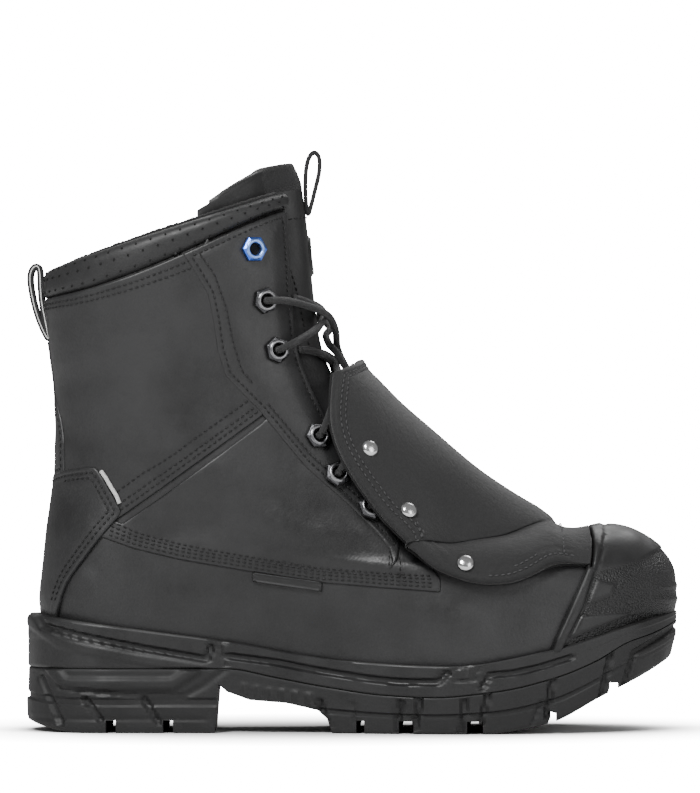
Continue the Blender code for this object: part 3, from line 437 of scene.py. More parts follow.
def nap_group():
    """Brushed nap: fine matte fibres and faint hand marks."""
    tree, out, place = new_group("nubuck_nap", (("Normal", "Vector"), ("Tone", "Float")))
    fibres = noise(tree, place, 1900.0, 4.0, 0.75)
    tufts = noise(tree, place, 420.0, 3.0, 0.6)
    marks = noise(tree, place, 32.0, 4.0, 0.6)
    first = bumped(tree, fibres, 0.55, 0.0005)
    wire(tree, bumped(tree, tufts, 0.35, 0.0010, first), out.inputs["Normal"])
    tone = maths(tree, "ADD", maths(tree, "MULTIPLY", tufts, 0.45), maths(tree, "MULTIPLY", marks, 0.55))
    wire(tree, mapped(tree, tone, 0.36, 0.64), out.inputs["Tone"])
    return tree


def rubber_group():
    """Moulded rubber: faint orange peel, dull and shiny patches."""
    tree, out, place = new_group("moulded_rubber", (("Normal", "Vector"), ("Tone", "Float")))
    peel = noise(tree, place, 700.0, 3.0, 0.6)
    waves = noise(tree, place, 60.0, 3.0, 0.5)
    first = bumped(tree, peel, 0.18, 0.0005)
    wire(tree, bumped(tree, waves, 0.12, 0.0020, first), out.inputs["Normal"])
    wire(tree, mapped(tree, waves, 0.35, 0.65), out.inputs["Tone"])
    return tree


def weave_group():
    """Plain weave or knit from UV: one unit of UV is a metre."""
    tree, out, place = new_group("woven", (("Normal", "Vector"), ("Tone", "Float")))
    texture = tree.nodes.new("ShaderNodeTexCoord").outputs["UV"]
    split = node(tree, "ShaderNodeSeparateXYZ")
    wire(tree, texture, split.inputs[0])
    pitch = 2 * math.pi / 0.0011
    across = maths(tree, "SINE", maths(tree, "MULTIPLY", split.outputs[0], pitch), 0)
    along = maths(tree, "SINE", maths(tree, "MULTIPLY", split.outputs[1], pitch), 0)
    height = maths(tree, "MULTIPLY", across, along)
    fuzz = noise(tree, place, 2400.0, 2.0)
    both = maths(tree, "ADD", maths(tree, "MULTIPLY", height, 0.5), fuzz)
    wire(tree, bumped(tree, both, 0.6, 0.0004), out.inputs["Normal"])
    wire(tree, mapped(tree, both, 0.0, 1.0), out.inputs["Tone"])
    return tree


GROUPS = {"grain": grain_group(), "nap": nap_group(), "rubber": rubber_group(), "weave": weave_group()}


def finish(name, group, low, high, rough_low, rough_high, **constants):
    """A material whose colour and roughness go between two values as a group's tone does."""
    material, shader = shader_of(name)
    tree = material.node_tree
    source = tree.nodes.new("ShaderNodeGroup")
    source.node_tree = GROUPS[group]
    wire(tree, ramp(tree, source.outputs["Tone"], low, high), shader.inputs["Base Color"])
    wear = source.outputs["Wear"] if "Wear" in source.outputs else source.outputs["Tone"]
    wire(tree, mapped(tree, wear, 0.0, 1.0, rough_low, rough_high), shader.inputs["Roughness"])
    wire(tree, source.outputs["Normal"], shader.inputs["Normal"])
    for key, value in constants.items():
        shader.inputs[key.replace("_", " ")].default_value = value
    return material


def grey(value, tint=(1.0, 1.0, 1.03)):
    return tuple(value * part for part in tint)


# Meshes


def object_of(name, mesh, *materials, angle=None):
    """Links a mesh as a smooth object, with sharp edges where its faces meet at more than an angle."""
    obj = link(bpy.data.objects.new(name, mesh))
    mesh.shade_smooth()
    if angle is not None:
        mesh.set_sharp_from_angle(angle=math.radians(angle))
    for material in materials:
        mesh.materials.append(material)
    return obj


def settle(mesh, merge=0.0, outwards=True):
    """Merges the seams of a mesh and turns its faces outwards."""
    shape = bmesh.new()
    shape.from_mesh(mesh)
    if merge:
        bmesh.ops.remove_doubles(shape, verts=shape.verts, dist=merge)
        bmesh.ops.dissolve_degenerate(shape, edges=shape.edges, dist=merge)
    if outwards:
        bmesh.ops.recalc_face_normals(shape, faces=shape.faces)
    shape.to_mesh(mesh)
    shape.free()


def set_uv(mesh, uv):
    """Gives each corner of the mesh its vertex's place in a flat map, in metres."""
    layer = mesh.uv_layers.new(name="flat")
    index = np.empty(len(mesh.loops), np.int32)
    mesh.loops.foreach_get("vertex_index", index)
    layer.data.foreach_set("uv", uv.reshape(-1, 2)[index].astype(np.float32).ravel())


def set_mask(mesh, name, values):
    mesh.attributes.new(name, "FLOAT", "POINT").data.foreach_set("value", values.astype(np.float32).ravel())


def grid_mesh(name, points, uv=None):
    """A grid whose vertices lie at points[row, column]."""
    rows, columns = points.shape[:2]
    shape = bmesh.new()
    bmesh.ops.create_grid(shape, x_segments=columns - 1, y_segments=rows - 1, size=1.0)
    mesh = bpy.data.meshes.new(name)
    shape.to_mesh(mesh)
    shape.free()
    mesh.vertices.foreach_set("co", points.astype(np.float32).ravel())
    if uv is not None:
        set_uv(mesh, uv)
    mesh.update()
    return mesh


def tube_grid(name, middle, across, radius, sides):
    """A closed tube along middle points, whose sections are turned by frames made from the direction across."""
    along = unit(np.gradient(middle, axis=0))
    side = unit(across - along * (across * along).sum(-1, keepdims=True))
    up = np.cross(along, side)
    turn = np.linspace(0, 2 * np.pi, sides + 1)
    wide = np.asarray(radius, float) * np.ones(len(middle))
    ring = (
        side[:, None] * np.cos(turn)[None, :, None] + up[:, None] * np.sin(turn)[None, :, None]
    ) * wide[:, None, None]
    points = middle[:, None] + ring
    points = np.concatenate([points[:1] * 0 + middle[0], points, points[-1:] * 0 + middle[-1]])
    length = length_of(middle)
    length = np.concatenate([length[:1], length, length[-1:]])
    flat = np.stack(np.broadcast_arrays(length[:, None], turn[None] / (2 * np.pi)), axis=-1)
    mesh = grid_mesh(name, points, flat)
    settle(mesh, 1e-6)
    return mesh


def length_of(points):
    return np.concatenate([[0.0], np.cumsum(np.linalg.norm(np.diff(points, axis=0), axis=1))])


def resample(points, step):
    """Points at even steps along a line."""
    run = length_of(points)
    count = max(2, int(round(run[-1] / step)) + 1)
    at = np.linspace(0, run[-1], count)
    return np.stack([np.interp(at, run, points[:, axis]) for axis in range(points.shape[1])], axis=-1)


def rounded(points, rounds=2, closed=False):
    """Cuts the corners of a line, as a hand with a knife does."""
    points = np.array(points, float)
    for _ in range(rounds):
        after = np.roll(points, -1, axis=0)
        if not closed:
            after = after[:-1]
        before = points if closed else points[:-1]
        cut = np.stack([before * 0.75 + after * 0.25, before * 0.25 + after * 0.75], axis=1)
        cut = cut.reshape(-1, points.shape[1])
        points = cut if closed else np.concatenate([points[:1], cut[1:-1], points[-1:]])
    return points


def smooth_curve(points, step):
    """A smooth line through points, at even steps."""
    points = np.array(points, float)
    run = length_of(points)
    at = np.linspace(0, run[-1], max(3, int(run[-1] / step) + 1))
    return np.stack([hermite(run, points[:, axis], at) for axis in range(points.shape[1])], axis=-1)


def distance_to(points, line):
    """Distance of each point from a line of points."""
    start, end = line[:-1], line[1:]
    run = end - start
    size = np.maximum((run * run).sum(-1), 1e-14)
    found = np.full(len(points), np.inf)
    for k in range(0, len(points), 4000):
        part = points[k : k + 4000]
        away = part[:, None] - start[None]
        share = clamp((away * run[None]).sum(-1) / size[None])
        gap = away - share[..., None] * run[None]
        found[k : k + 4000] = np.sqrt((gap * gap).sum(-1).min(-1))
    return found


def inside(points, outline):
    """Whether each flat point lies inside a closed outline."""
    x, y = points[:, 0][:, None], points[:, 1][:, None]
    x1, y1 = outline[:, 0][None], outline[:, 1][None]
    x2, y2 = np.roll(outline[:, 0], -1)[None], np.roll(outline[:, 1], -1)[None]
    crosses = (y1 > y) != (y2 > y)
    reach = x1 + (y - y1) * (x2 - x1) / np.where(y2 == y1, 1e-12, y2 - y1)
    return (crosses & (x < reach)).sum(-1) % 2 == 1


# Soft troughs and folds of worn leather in the side view: ends in pixels, depth and half width in metres
CREASES = (
    ((96, 300), (150, 330), 0.0007, 0.0060), ((70, 380), (135, 362), 0.0006, 0.0070),
    ((150, 300), (196, 350), 0.0006, 0.0080), ((120, 420), (205, 400), 0.0007, 0.0085),
    ((215, 440), (305, 520), 0.0008, 0.0080), ((150, 500), (235, 460), -0.0006, 0.0100),
    ((160, 535), (260, 500), 0.0006, 0.0090), ((250, 540), (360, 552), 0.0006, 0.0070),
    ((160, 590), (240, 610), -0.0006, 0.0090), ((250, 615), (380, 640), 0.0006, 0.0080),
    ((380, 600), (470, 618), -0.0007, 0.0090), ((470, 600), (540, 596), 0.0007, 0.0080),
    ((495, 625), (560, 612), 0.0006, 0.0070), ((225, 300), (270, 345), 0.0005, 0.0070),
    ((90, 560), (120, 600), 0.0005, 0.0060), ((60, 430), (110, 450), 0.0005, 0.0060),
)
CREASE_LINES = [(to_metres([start, end]), depth, width) for start, end, depth, width in CREASES]


def creases(points):
    """How far the creases sink the leather at each point, in metres."""
    sink = np.zeros(len(points))
    for line, depth, width in CREASE_LINES:
        sink -= depth * np.exp(-((distance_to(points[:, [0, 2]], line) / width) ** 2))
    waves = np.sin(points[:, 0] * 88 + points[:, 2] * 61) * np.sin(points[:, 2] * 97 - points[:, 0] * 43)
    return sink + 0.00022 * waves


FLAT = np.array((300.0, 16.0))  # flat millimetres for one of u and one of v
OUTLINE_STEP = 1.2  # flat millimetres between the points of an outline
ROW_SHARE = 0.87  # rows of a sheet's inner points lie this share of a step apart
CLEAR_SHARE = 0.55  # and no nearer to an outline or ring than this share of a step
RING_GRID = 0.35  # of a ring's points, one is kept in each square of so many flat millimetres
RING_SHARE = 0.93  # a ring's point counts if it keeps this share of its distance from the outline


def dense(u, v, step):
    """Points at even steps along a line on the last, as u and v."""
    return resample(np.stack([u, v], axis=-1) * FLAT, step) / FLAT


def edge_profile(distance, radius):
    """A rounded edge: 0 at the edge and 1 from the radius inwards."""
    share = clamp(distance / radius)
    return np.sqrt(1 - (1 - share) ** 2)


def dip(distance, width):
    return np.exp(-((distance / width) ** 2))


def inward(line, closed=True):
    """The direction into a closed outline at each of its points, as steps of u and v for a metre."""
    u, v = wrap(line[:, 0]), line[:, 1]
    along, up = slopes(u, v)
    out = unit(np.cross(up, along))
    places = surface(u, v)
    run = np.roll(places, -1, axis=0) - np.roll(places, 1, axis=0) if closed else np.gradient(places, axis=0)
    across = np.cross(out, unit(run))
    aa, bb, ab = (along * along).sum(-1), (up * up).sum(-1), (along * up).sum(-1)
    ra, rb = (across * along).sum(-1), (across * up).sum(-1)
    over = aa * bb - ab * ab
    return np.stack([(ra * bb - rb * ab) / over, (rb * aa - ra * ab) / over], axis=-1)


def area_of(flat):
    x, y = flat[:, 0], flat[:, 1]
    return 0.5 * (x * np.roll(y, -1) - y * np.roll(x, -1)).sum()


def inward_edge(outline):
    """An outline with even steps that runs one way, its closed line on the last, and the direction into it."""
    outline = resample(np.concatenate([outline, outline[:1]]) * FLAT, OUTLINE_STEP)[:-1] / FLAT
    if area_of(outline * FLAT) < 0:
        outline = outline[::-1]
    edge = surface(wrap(outline[:, 0]), outline[:, 1])
    into = inward(outline)
    if inside((outline + into * 0.002) * FLAT, outline * FLAT).mean() < 0.5:
        into = -into
    return outline, np.concatenate([edge, edge[:1]]), into


def clear_of(spots, others, least):
    """The spots that lie further than least from all the others."""
    gap = np.full(len(spots), np.inf)
    for k in range(0, len(spots), 2000):
        gap[k : k + 2000] = np.linalg.norm(spots[k : k + 2000, None] - others[None], axis=-1).min(-1)
    return spots[gap > least]


def lay_sheet(name, outline, top, bottom, material, step=1.7, rings=(), lines=(), place=lifted, masks=()):
    """A closed sheet over the last inside an outline of u and v.

    top and bottom give its heights over the last from the place, the distance from the outline and the distances
    from the lines. rings are the distances from the outline, and lines the paths, that get points of their own.
    """
    outline, closed_edge, into = inward_edge(outline)
    flat = outline * FLAT
    low, high = flat.min(0), flat.max(0)
    columns = np.arange(low[0], high[0], step)
    rows = np.arange(low[1], high[1], step * ROW_SHARE)
    hexes = np.stack(np.meshgrid(columns, rows), axis=-1)
    hexes[1::2, :, 0] += step / 2
    hexes = hexes.reshape(-1, 2)
    hexes = hexes[inside(hexes, flat)]
    extra = []
    for distance in rings:
        points = outline + into * distance
        keep = inside(points * FLAT, flat)
        gap = distance_to(surface(wrap(points[:, 0]), points[:, 1]), closed_edge)
        keep &= gap > distance * RING_SHARE
        extra.append(points[keep] * FLAT)
    paths = []
    for line, reach in lines:
        line = resample(line * FLAT, OUTLINE_STEP) / FLAT
        paths.append(surface(wrap(line[:, 0]), line[:, 1]))
        across = inward(line, closed=False)
        for shift in (-reach, 0.0, reach):
            points = (line + across * shift) * FLAT
            extra.append(points[inside(points, flat)])
    added = np.concatenate(extra) if extra else np.zeros((0, 2))
    if len(added):
        keys = np.round(added / RING_GRID).astype(int)
        _, first = np.unique(keys, axis=0, return_index=True)
        added = added[np.sort(first)]
        hexes = clear_of(hexes, added, step * CLEAR_SHARE)
    hexes = clear_of(hexes, flat, step * CLEAR_SHARE)
    spots = np.concatenate([flat, added, hexes])
    border = [(k, (k + 1) % len(flat)) for k in range(len(flat))]
    made = delaunay_2d_cdt([Vector(spot) for spot in spots.tolist()], border, [], 1, 1e-5, True)
    spots = np.array([tuple(spot) for spot in made[0]])
    faces = np.array(made[2])
    faces = faces[inside(spots[faces].mean(axis=1), flat)]
    on_edge = np.zeros(len(spots), bool)
    for number, origins in enumerate(made[3]):
        on_edge[number] = any(origin < len(flat) for origin in origins)
    u, v = wrap(spots[:, 0] / FLAT[0]), spots[:, 1] / FLAT[1]
    base = surface(u, v)
    distance = distance_to(base, closed_edge)
    distance[on_edge] = 0.0
    apart = [distance_to(base, path) for path in paths]
    over = place(u, v, top(base, distance, apart))
    under = place(u, v, bottom(base, distance, apart))
    index = np.full(len(spots), -1)
    index[on_edge] = np.flatnonzero(on_edge)
    index[~on_edge] = len(spots) + np.arange((~on_edge).sum())
    points = np.concatenate([over, under[~on_edge]])
    every = np.concatenate([faces, index[faces][:, ::-1]])
    mesh = bpy.data.meshes.new(name)
    mesh.from_pydata(points.tolist(), [], every.tolist())
    for label, values in masks:
        both = values(base, distance, apart)
        set_mask(mesh, label, np.concatenate([both, both[~on_edge]]))
    settle(mesh)
    return object_of(name, mesh, material)


def inset_line(outline, distance, keep=None):
    """The line at a distance inside an outline, on the last's u and v, and the part of it that keep allows."""
    outline, closed_edge, into = inward_edge(outline)
    points = outline + into * distance
    gap = distance_to(surface(wrap(points[:, 0]), points[:, 1]), closed_edge)
    good = (gap > distance * RING_SHARE) & inside(points * FLAT, outline * FLAT)
    if keep is not None:
        good &= keep(points)
    runs, current = [], []
    for number in range(len(points)):
        if good[number]:
            current.append(points[number])
        elif current:
            runs.append(np.array(current))
            current = []
    if current:
        if runs and good[0]:
            runs[0] = np.concatenate([np.array(current), runs[0]])
        else:
            runs.append(np.array(current))
    return [run for run in runs if len(run) > 4]


# Stitches

STITCH_PITCH = 0.0030
STITCH_LENGTH = 0.0020
THREAD_RADIUS = 0.00044


def stitch_shape():
    """The vertices and faces of one stitch: a rounded rod, longer than it is wide."""
    shape = bmesh.new()
    bmesh.ops.create_uvsphere(shape, u_segments=6, v_segments=4, radius=1.0)
    shape.verts.index_update()
    points = np.array([tuple(vert.co) for vert in shape.verts])
    faces = [[vert.index for vert in face.verts] for face in shape.faces]
    shape.free()
    return points, faces


STITCH_POINTS, STITCH_FACES = stitch_shape()


def stitches(name, lines, material, pitch=STITCH_PITCH, size=STITCH_LENGTH, radius=THREAD_RADIUS):
    """One piece with every stitch along lines, each given by its points and its normals."""
    chance = random.Random(len(name) * 7 + len(lines))
    points, faces, count = [], [], 0
    for line, out in lines:
        run = length_of(line)
        number = int(run[-1] / pitch)
        if number < 1:
            continue
        at = (np.arange(number) + 0.5) * run[-1] / number

        def pick(table, where):
            return np.stack([np.interp(where, run, table[:, axis]) for axis in range(3)], axis=-1)

        middle = pick(line, at)
        along = unit(pick(line, at + size / 2) - pick(line, at - size / 2))
        up = unit(pick(out, at))
        side = unit(np.cross(up, along))
        for k in range(number):
            lean = chance.uniform(-0.10, 0.10)
            direction = along[k] + side[k] * lean
            body = (
                STITCH_POINTS[:, 2:3] * direction * size / 2
                + STITCH_POINTS[:, 0:1] * side[k] * radius
                + STITCH_POINTS[:, 1:2] * up[k] * radius * 0.8
            )
            points.append(middle[k] + body)
            faces.extend([[index + count for index in face] for face in STITCH_FACES])
            count += len(STITCH_POINTS)
    mesh = bpy.data.meshes.new(name)
    mesh.from_pydata(np.concatenate(points).tolist(), [], faces)
    settle(mesh)
    return object_of(name, mesh, material)


def on_last(line, height):
    """Points and normals of a line of u and v at a height over the last."""
    u, v = wrap(line[:, 0]), line[:, 1]
    out = normal(u, v)
    base = surface(u, v)
    tall = height(base) if callable(height) else height
    return base + out * np.reshape(tall, (-1, 1)) * np.ones((len(line), 1)), out


# Materials of the boot

leather = finish("leather", "grain", grey(0.0085), grey(0.0175), 0.36, 0.54, Specular_IOR_Level=0.55)
soft_leather = finish("soft_leather", "grain", grey(0.0075), grey(0.0145), 0.42, 0.60, Specular_IOR_Level=0.5)
lining = finish("lining", "nap", grey(0.012), grey(0.026), 0.85, 0.98)
nubuck = finish("nubuck", "nap", grey(0.0060), grey(0.0115), 0.72, 0.90, Sheen_Weight=0.12, Sheen_Roughness=0.5)
felt = finish("felt", "nap", grey(0.006), grey(0.013), 0.9, 1.0)
rubber = finish("rubber", "rubber", grey(0.0075), grey(0.0125), 0.44, 0.60, Specular_IOR_Level=0.5)
tread_rubber = finish("tread_rubber", "rubber", grey(0.0070), grey(0.0115), 0.50, 0.68, Specular_IOR_Level=0.45)
knit = finish("knit", "weave", grey(0.006), grey(0.020), 0.85, 0.98, Sheen_Weight=0.10)
thread = finish("thread", "nap", grey(0.0012), grey(0.0030), 0.45, 0.65)
grey_thread = finish("grey_thread", "nap", grey(0.030), grey(0.060), 0.55, 0.75)
lace_cover = finish("lace_cover", "weave", grey(0.007), grey(0.022), 0.55, 0.80, Sheen_Weight=0.10)
webbing = finish("webbing", "weave", grey(0.008), grey(0.024), 0.70, 0.90)


def metal(name, low, high, rough_low, rough_high, coat=0.0):
    """A plated or anodised metal with faint unevenness in its colour, roughness and surface."""
    made = finish(name, "rubber", low, high, rough_low, rough_high, Metallic=1.0)
    made.node_tree.nodes["Principled BSDF"].inputs["Coat Weight"].default_value = coat
    return made


gunmetal = metal("gunmetal", (0.070, 0.070, 0.074), (0.130, 0.130, 0.136), 0.28, 0.45)
blue_metal = metal("blue_metal", (0.06, 0.16, 0.72), (0.11, 0.25, 0.90), 0.22, 0.38, 0.1)
chrome = metal("chrome", (0.66, 0.66, 0.66), (0.82, 0.82, 0.82), 0.10, 0.22)
reflective = finish("reflective", "weave", (0.62, 0.62, 0.60), (0.86, 0.86, 0.84), 0.25, 0.40)
# Painted shade: a near-black finish for flat discs that stand in for the dark insides of holes.
painted_hole_shade = finish("painted_hole_shade", "nap", grey(0.002), grey(0.004), 0.9, 1.0)


def stippled_rubber():
    """Toe cap rubber: smooth above, stippled where the mask says so."""
    material = finish("toe_rubber", "rubber", grey(0.0070), grey(0.0120), 0.40, 0.58, Specular_IOR_Level=0.5)
    tree = material.node_tree
    shader = tree.nodes["Principled BSDF"]
    before = shader.inputs["Normal"].links[0].from_socket
    mask = node(tree, "ShaderNodeAttribute")
    mask.attribute_name = "stipple"
    place = tree.nodes.new("ShaderNodeTexCoord").outputs["Object"]
    beads = cells(tree, place, 1050.0)
    height = maths(tree, "MULTIPLY", maths(tree, "SUBTRACT", 1.0, beads), mask.outputs["Fac"])
    wire(tree, bumped(tree, height, 0.9, 0.0006, before), shader.inputs["Normal"])
    return material


toe_rubber = stippled_rubber()

# Upper: the vamp and what lies under the panels

UPPER_COLUMNS = 150
UPPER_ROWS = 156


def make_upper():
    rows = np.linspace(0, 1, UPPER_ROWS)
    v = np.interp(rows, (0, 0.62, 1), (0, THROAT_BOTTOM + 0.3, COLLAR_FRONT))
    columns = np.linspace(-1, 1, 2 * UPPER_COLUMNS + 1)
    u = facing(v)[:, None] * columns[None]
    high = np.where(
        v[:, None] > BELOW_COLLAR,
        BELOW_COLLAR + (collar_seam(u) - BELOW_COLLAR) * (v[:, None] - BELOW_COLLAR) / (COLLAR_FRONT - BELOW_COLLAR),
        v[:, None],
    )
    flat_u, flat_v = u.ravel(), high.ravel()
    base = surface(flat_u, flat_v)
    points = base + normal(flat_u, flat_v) * creases(base)[:, None]
    mesh = grid_mesh("upper_leather", points.reshape(UPPER_ROWS, -1, 3)[:, ::-1])
    settle(mesh, 2e-5, outwards=False)
    shell = object_of("upper_leather", mesh, leather, lining)
    wall = shell.modifiers.new("Wall", "SOLIDIFY")
    wall.thickness = WALL
    wall.offset = -1.0
    wall.material_offset = 1
    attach(shell, "root")
    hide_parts("upper")
    return shell


make_upper()

# Panels of leather, drawn in the view's pixels

UNDER = -0.0004  # how deep a panel's underside sinks into what it lies on
EDGE_ROUND = 0.0008


def side_line(pixels, side, smooth=0):
    """A line of the view as u and v on one side."""
    line = rounded(pixels, smooth) if smooth else np.array(pixels, float)
    u, v = locate(to_shares(resample(line, 4.0)), side)
    return np.stack([u, v], axis=-1)


def heel_at(pixel_y):
    """u and v of the middle of the back at a height in the view."""
    z = to_metres([(0, pixel_y)])[0, 1]
    v = halve(lambda at: surface(np.zeros(1), at)[..., 2] < z, np.zeros(1), np.full(1, float(TOP_LEVEL)))
    return np.array([[0.0, v[0]]])


def front_at(pixel_x, u):
    """The places at each u where the last is as far forward as the view's column."""
    x = to_metres([(pixel_x, 0)])[0, 0]
    full = np.ones(len(u))
    v = halve(lambda at: surface(u, at)[..., 0] > x, full * 1.5, full * 14.0)
    return np.stack([u, v], axis=-1)


def mirrored_at_heel(half):
    """A whole outline from a half with u from 0 up."""
    other = half[::-1].copy()
    other[:, 0] = -other[:, 0]
    return np.concatenate([half, other])


def mirrored_at_toe(half):
    """A whole outline from the medial half, u up to 1, and its other side beyond 1."""
    other = half[::-1].copy()
    other[:, 0] = 2 - other[:, 0]
    return np.concatenate([half, other])


SEAM_DIP = 0.00028
SEAM_WIDTH = 0.0007
RISE_OVER = 0.012  # metres from its edge over which a padded panel rises


def leather_sheet(name, outline, thick, material, seams, rise=0.0):
    """A leather panel with a rounded edge, sunk along its seams and following the creases."""

    def top(points, distance, apart):
        height = thick * edge_profile(distance, EDGE_ROUND) + rise * ease(distance / RISE_OVER)
        for seam in seams:
            height -= SEAM_DIP * dip(distance - seam, SEAM_WIDTH)
        return height + creases(points)

    def bottom(points, distance, apart):
        return UNDER * edge_profile(distance, EDGE_ROUND) + creases(points)

    rings = [0.0003, EDGE_ROUND, 0.0014]
    for seam in seams:
        rings += [seam - 0.0009, seam, seam + 0.0009]
    obj = lay_sheet(name, outline, top, bottom, material, rings=rings)
    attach(obj, "root")
    return obj


stitch_lines = []  # every seam of the leather panels


def sew(lines, height):
    for line in lines:
        if len(line) > 1:
            stitch_lines.append(on_last(line, height))


UNDIPPED = 0.00012  # lift of thread where a panel has no dip for its seam


def over(thick, lift=-0.00012):
    """A height for thread in its seam on a panel of the given thickness."""
    return lambda points: thick - SEAM_DIP + THREAD_RADIUS + lift + creases(points)


DIAGONAL = ((118, 519), (123, 516), (160, 490), (261, 417), (275, 402))
DIAGONAL_ROWS = (0.0030, 0.0056, 0.0104)
COUNTER_EDGE = ((54, 476), (67, 470), (94, 466), (100, 468), (122, 508), (123, 514), (105, 534), (85, 559), (69, 581),
                (61, 603), (57, 632))
BACKSTRIP_EDGE = ((48, 340), (50, 352), (52, 380), (65, 431), (66, 474))
LOWER_EDGE = ((100, 536), (134, 548), (180, 559), (250, 571), (320, 582), (440, 591))
EYESTAY_REAR = ((174, 243), (192, 268), (208, 295), (213, 320), (217, 349), (225, 376), (246, 398), (259, 411))
EYESTAY_LOWER = ((259, 411), (305, 467), (350, 507), (376, 534), (388, 549), (391, 560), (388, 571))
QUARTER_FRONT = ((440, 591), (440, 577), (415, 545), (404, 528))
QUARTER_TOP = ((404, 528), (376, 510), (345, 488), (310, 455), (273, 412))
QUARTER_DIAGONAL = ((273, 412), (261, 424), (160, 498), (123, 523))
QUARTER_REAR = ((116, 516), (96, 536))
QUARTER_ROWS = (0.0024, 0.0046, 0.0068, 0.0090)
FRONT_SEAMS = (((389, 566), (389, 548), (381, 537)), ((400, 577), (400, 560), (390, 545)))
UNDER_COUNTER = ((118, 519), (104, 505), (92, 497), (70, 494))
SHAFT_FRONT = ((275, 402), (262, 385), (240, 350), (232, 300), (218, 262), (208, 236))
COLLAR_ROWS = (0.0034, 0.0062)
COUNTER_ROWS = (0.0030, 0.0056)
BACKSTRIP_ROW = 0.0028
EYESTAY_HIDDEN = ((388, 571), (398, 560), (400, 540))
EYESTAY_ROW = 0.0030
EYESTAY_SEAMS = (
    ((199, 253), (214, 275), (225, 306), (232, 342), (241, 371), (252, 384)),
    ((266, 404), (311, 458), (356, 498), (380, 523)),
)
LEVEL_HEIGHT = 0.0165  # metres from one level to the next below the collar
QUARTER_THICK = 0.0009
SHAFT_THICK = 0.0012
COUNTER_THICK = 0.0023
EYESTAY_THICK = 0.0017
EYESTAY_RISE = 0.0014


def collar_line(start, end, count=60):
    """The seam below the collar from one u to another."""
    u = np.linspace(start, end, count)
    return np.stack([u, collar_seam(u) - 0.02], axis=-1)


def make_panels():
    for side, side_name in SIDES:
        lower = side_line(LOWER_EDGE, side)
        parts = [side_line(line, side)[1:] for line in (QUARTER_FRONT, QUARTER_TOP, QUARTER_DIAGONAL, QUARTER_REAR)]
        outline = np.concatenate([lower, *parts])
        panel = leather_sheet("quarter_" + side_name, outline, QUARTER_THICK, leather, ())
        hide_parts("upper")
        across = inward(lower, closed=False)
        across *= np.sign(across[:, 1].mean())
        for inset in QUARTER_ROWS:
            sew([(lower + across * inset)[2:-2]], over(QUARTER_THICK, UNDIPPED))
        for down in FRONT_SEAMS:
            sew([side_line(down, side)], over(QUARTER_THICK, UNDIPPED))

    edge = side_line(DIAGONAL, MEDIAL)
    under_counter = side_line(UNDER_COUNTER, MEDIAL)
    seam_edge = side_line(SHAFT_FRONT, MEDIAL)
    half = np.concatenate([
        heel_at(494), under_counter[::-1], edge[1:], seam_edge[1:], collar_line(seam_edge[-1, 0], 0.0)[1:],
    ])
    outline = mirrored_at_heel(half)
    panel = leather_sheet("shaft_panel", outline, SHAFT_THICK, leather, ())
    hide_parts("upper")
    for side, side_name in SIDES:
        whole = side_line(DIAGONAL, side)
        for inset in DIAGONAL_ROWS:
            across = inward(whole, closed=False)
            down = across[:, 1].mean() < 0
            sew([whole + across * inset * (-1 if down else 1)], over(SHAFT_THICK, UNDIPPED))
        for shift in COLLAR_ROWS:
            line = collar_line(side * 0.02, side * 0.70, 80)
            line[:, 1] -= shift / LEVEL_HEIGHT
            sew([line], over(SHAFT_THICK, UNDIPPED))

    half = np.concatenate([heel_at(476), side_line(COUNTER_EDGE, MEDIAL, 1), [[0.0, 0.35]]])
    outline = mirrored_at_heel(half)
    panel = leather_sheet("counter_leather", outline, COUNTER_THICK, leather, COUNTER_ROWS)
    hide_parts("heel_counter")
    for inset in COUNTER_ROWS:
        sew(inset_line(outline, inset, keep=lambda points: points[:, 1] > 1.0), over(COUNTER_THICK))

    half = np.concatenate([heel_at(340), side_line(BACKSTRIP_EDGE, MEDIAL, 1), heel_at(480)])
    outline = mirrored_at_heel(half)
    panel = leather_sheet("backstrip_leather", outline, COUNTER_THICK - 0.0003, leather, (BACKSTRIP_ROW,))
    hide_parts("backstrip")
    beside = inset_line(outline, BACKSTRIP_ROW, keep=lambda points: np.abs(points[:, 0]) > 0.03)
    sew(beside, over(COUNTER_THICK - 0.0003))

    for side, side_name in SIDES:
        rear = side_line(EYESTAY_REAR, side)
        lower = side_line(EYESTAY_LOWER, side)
        hidden = side_line(EYESTAY_HIDDEN, side)
        v = np.linspace(7.72, 14.70, 70)
        edge = np.stack([side * (facing(v) - 0.002), v], axis=-1)
        top_line = collar_line(side * facing(14.7) - side * 0.002, rear[0, 0], 30)
        outline = np.concatenate([rear, lower[1:], hidden[1:], edge, top_line[1:]])
        panel = leather_sheet(
            "eyestay_" + side_name + "_leather", outline, EYESTAY_THICK, leather, (EYESTAY_ROW,), EYESTAY_RISE,
        )
        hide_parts("eyestay_" + side_name)
        sew(inset_line(outline, EYESTAY_ROW), lambda points: over(EYESTAY_THICK)(points) + EYESTAY_RISE * ease(0.25))
        for seam in EYESTAY_SEAMS:
            sew([side_line(seam, side)], lambda points: over(EYESTAY_THICK, 0.00025)(points) + EYESTAY_RISE * 0.95)


make_panels()
stitches("seams", stitch_lines, thread)
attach(bpy.data.objects["seams"], "root")

# Padded collar, tongue and guard

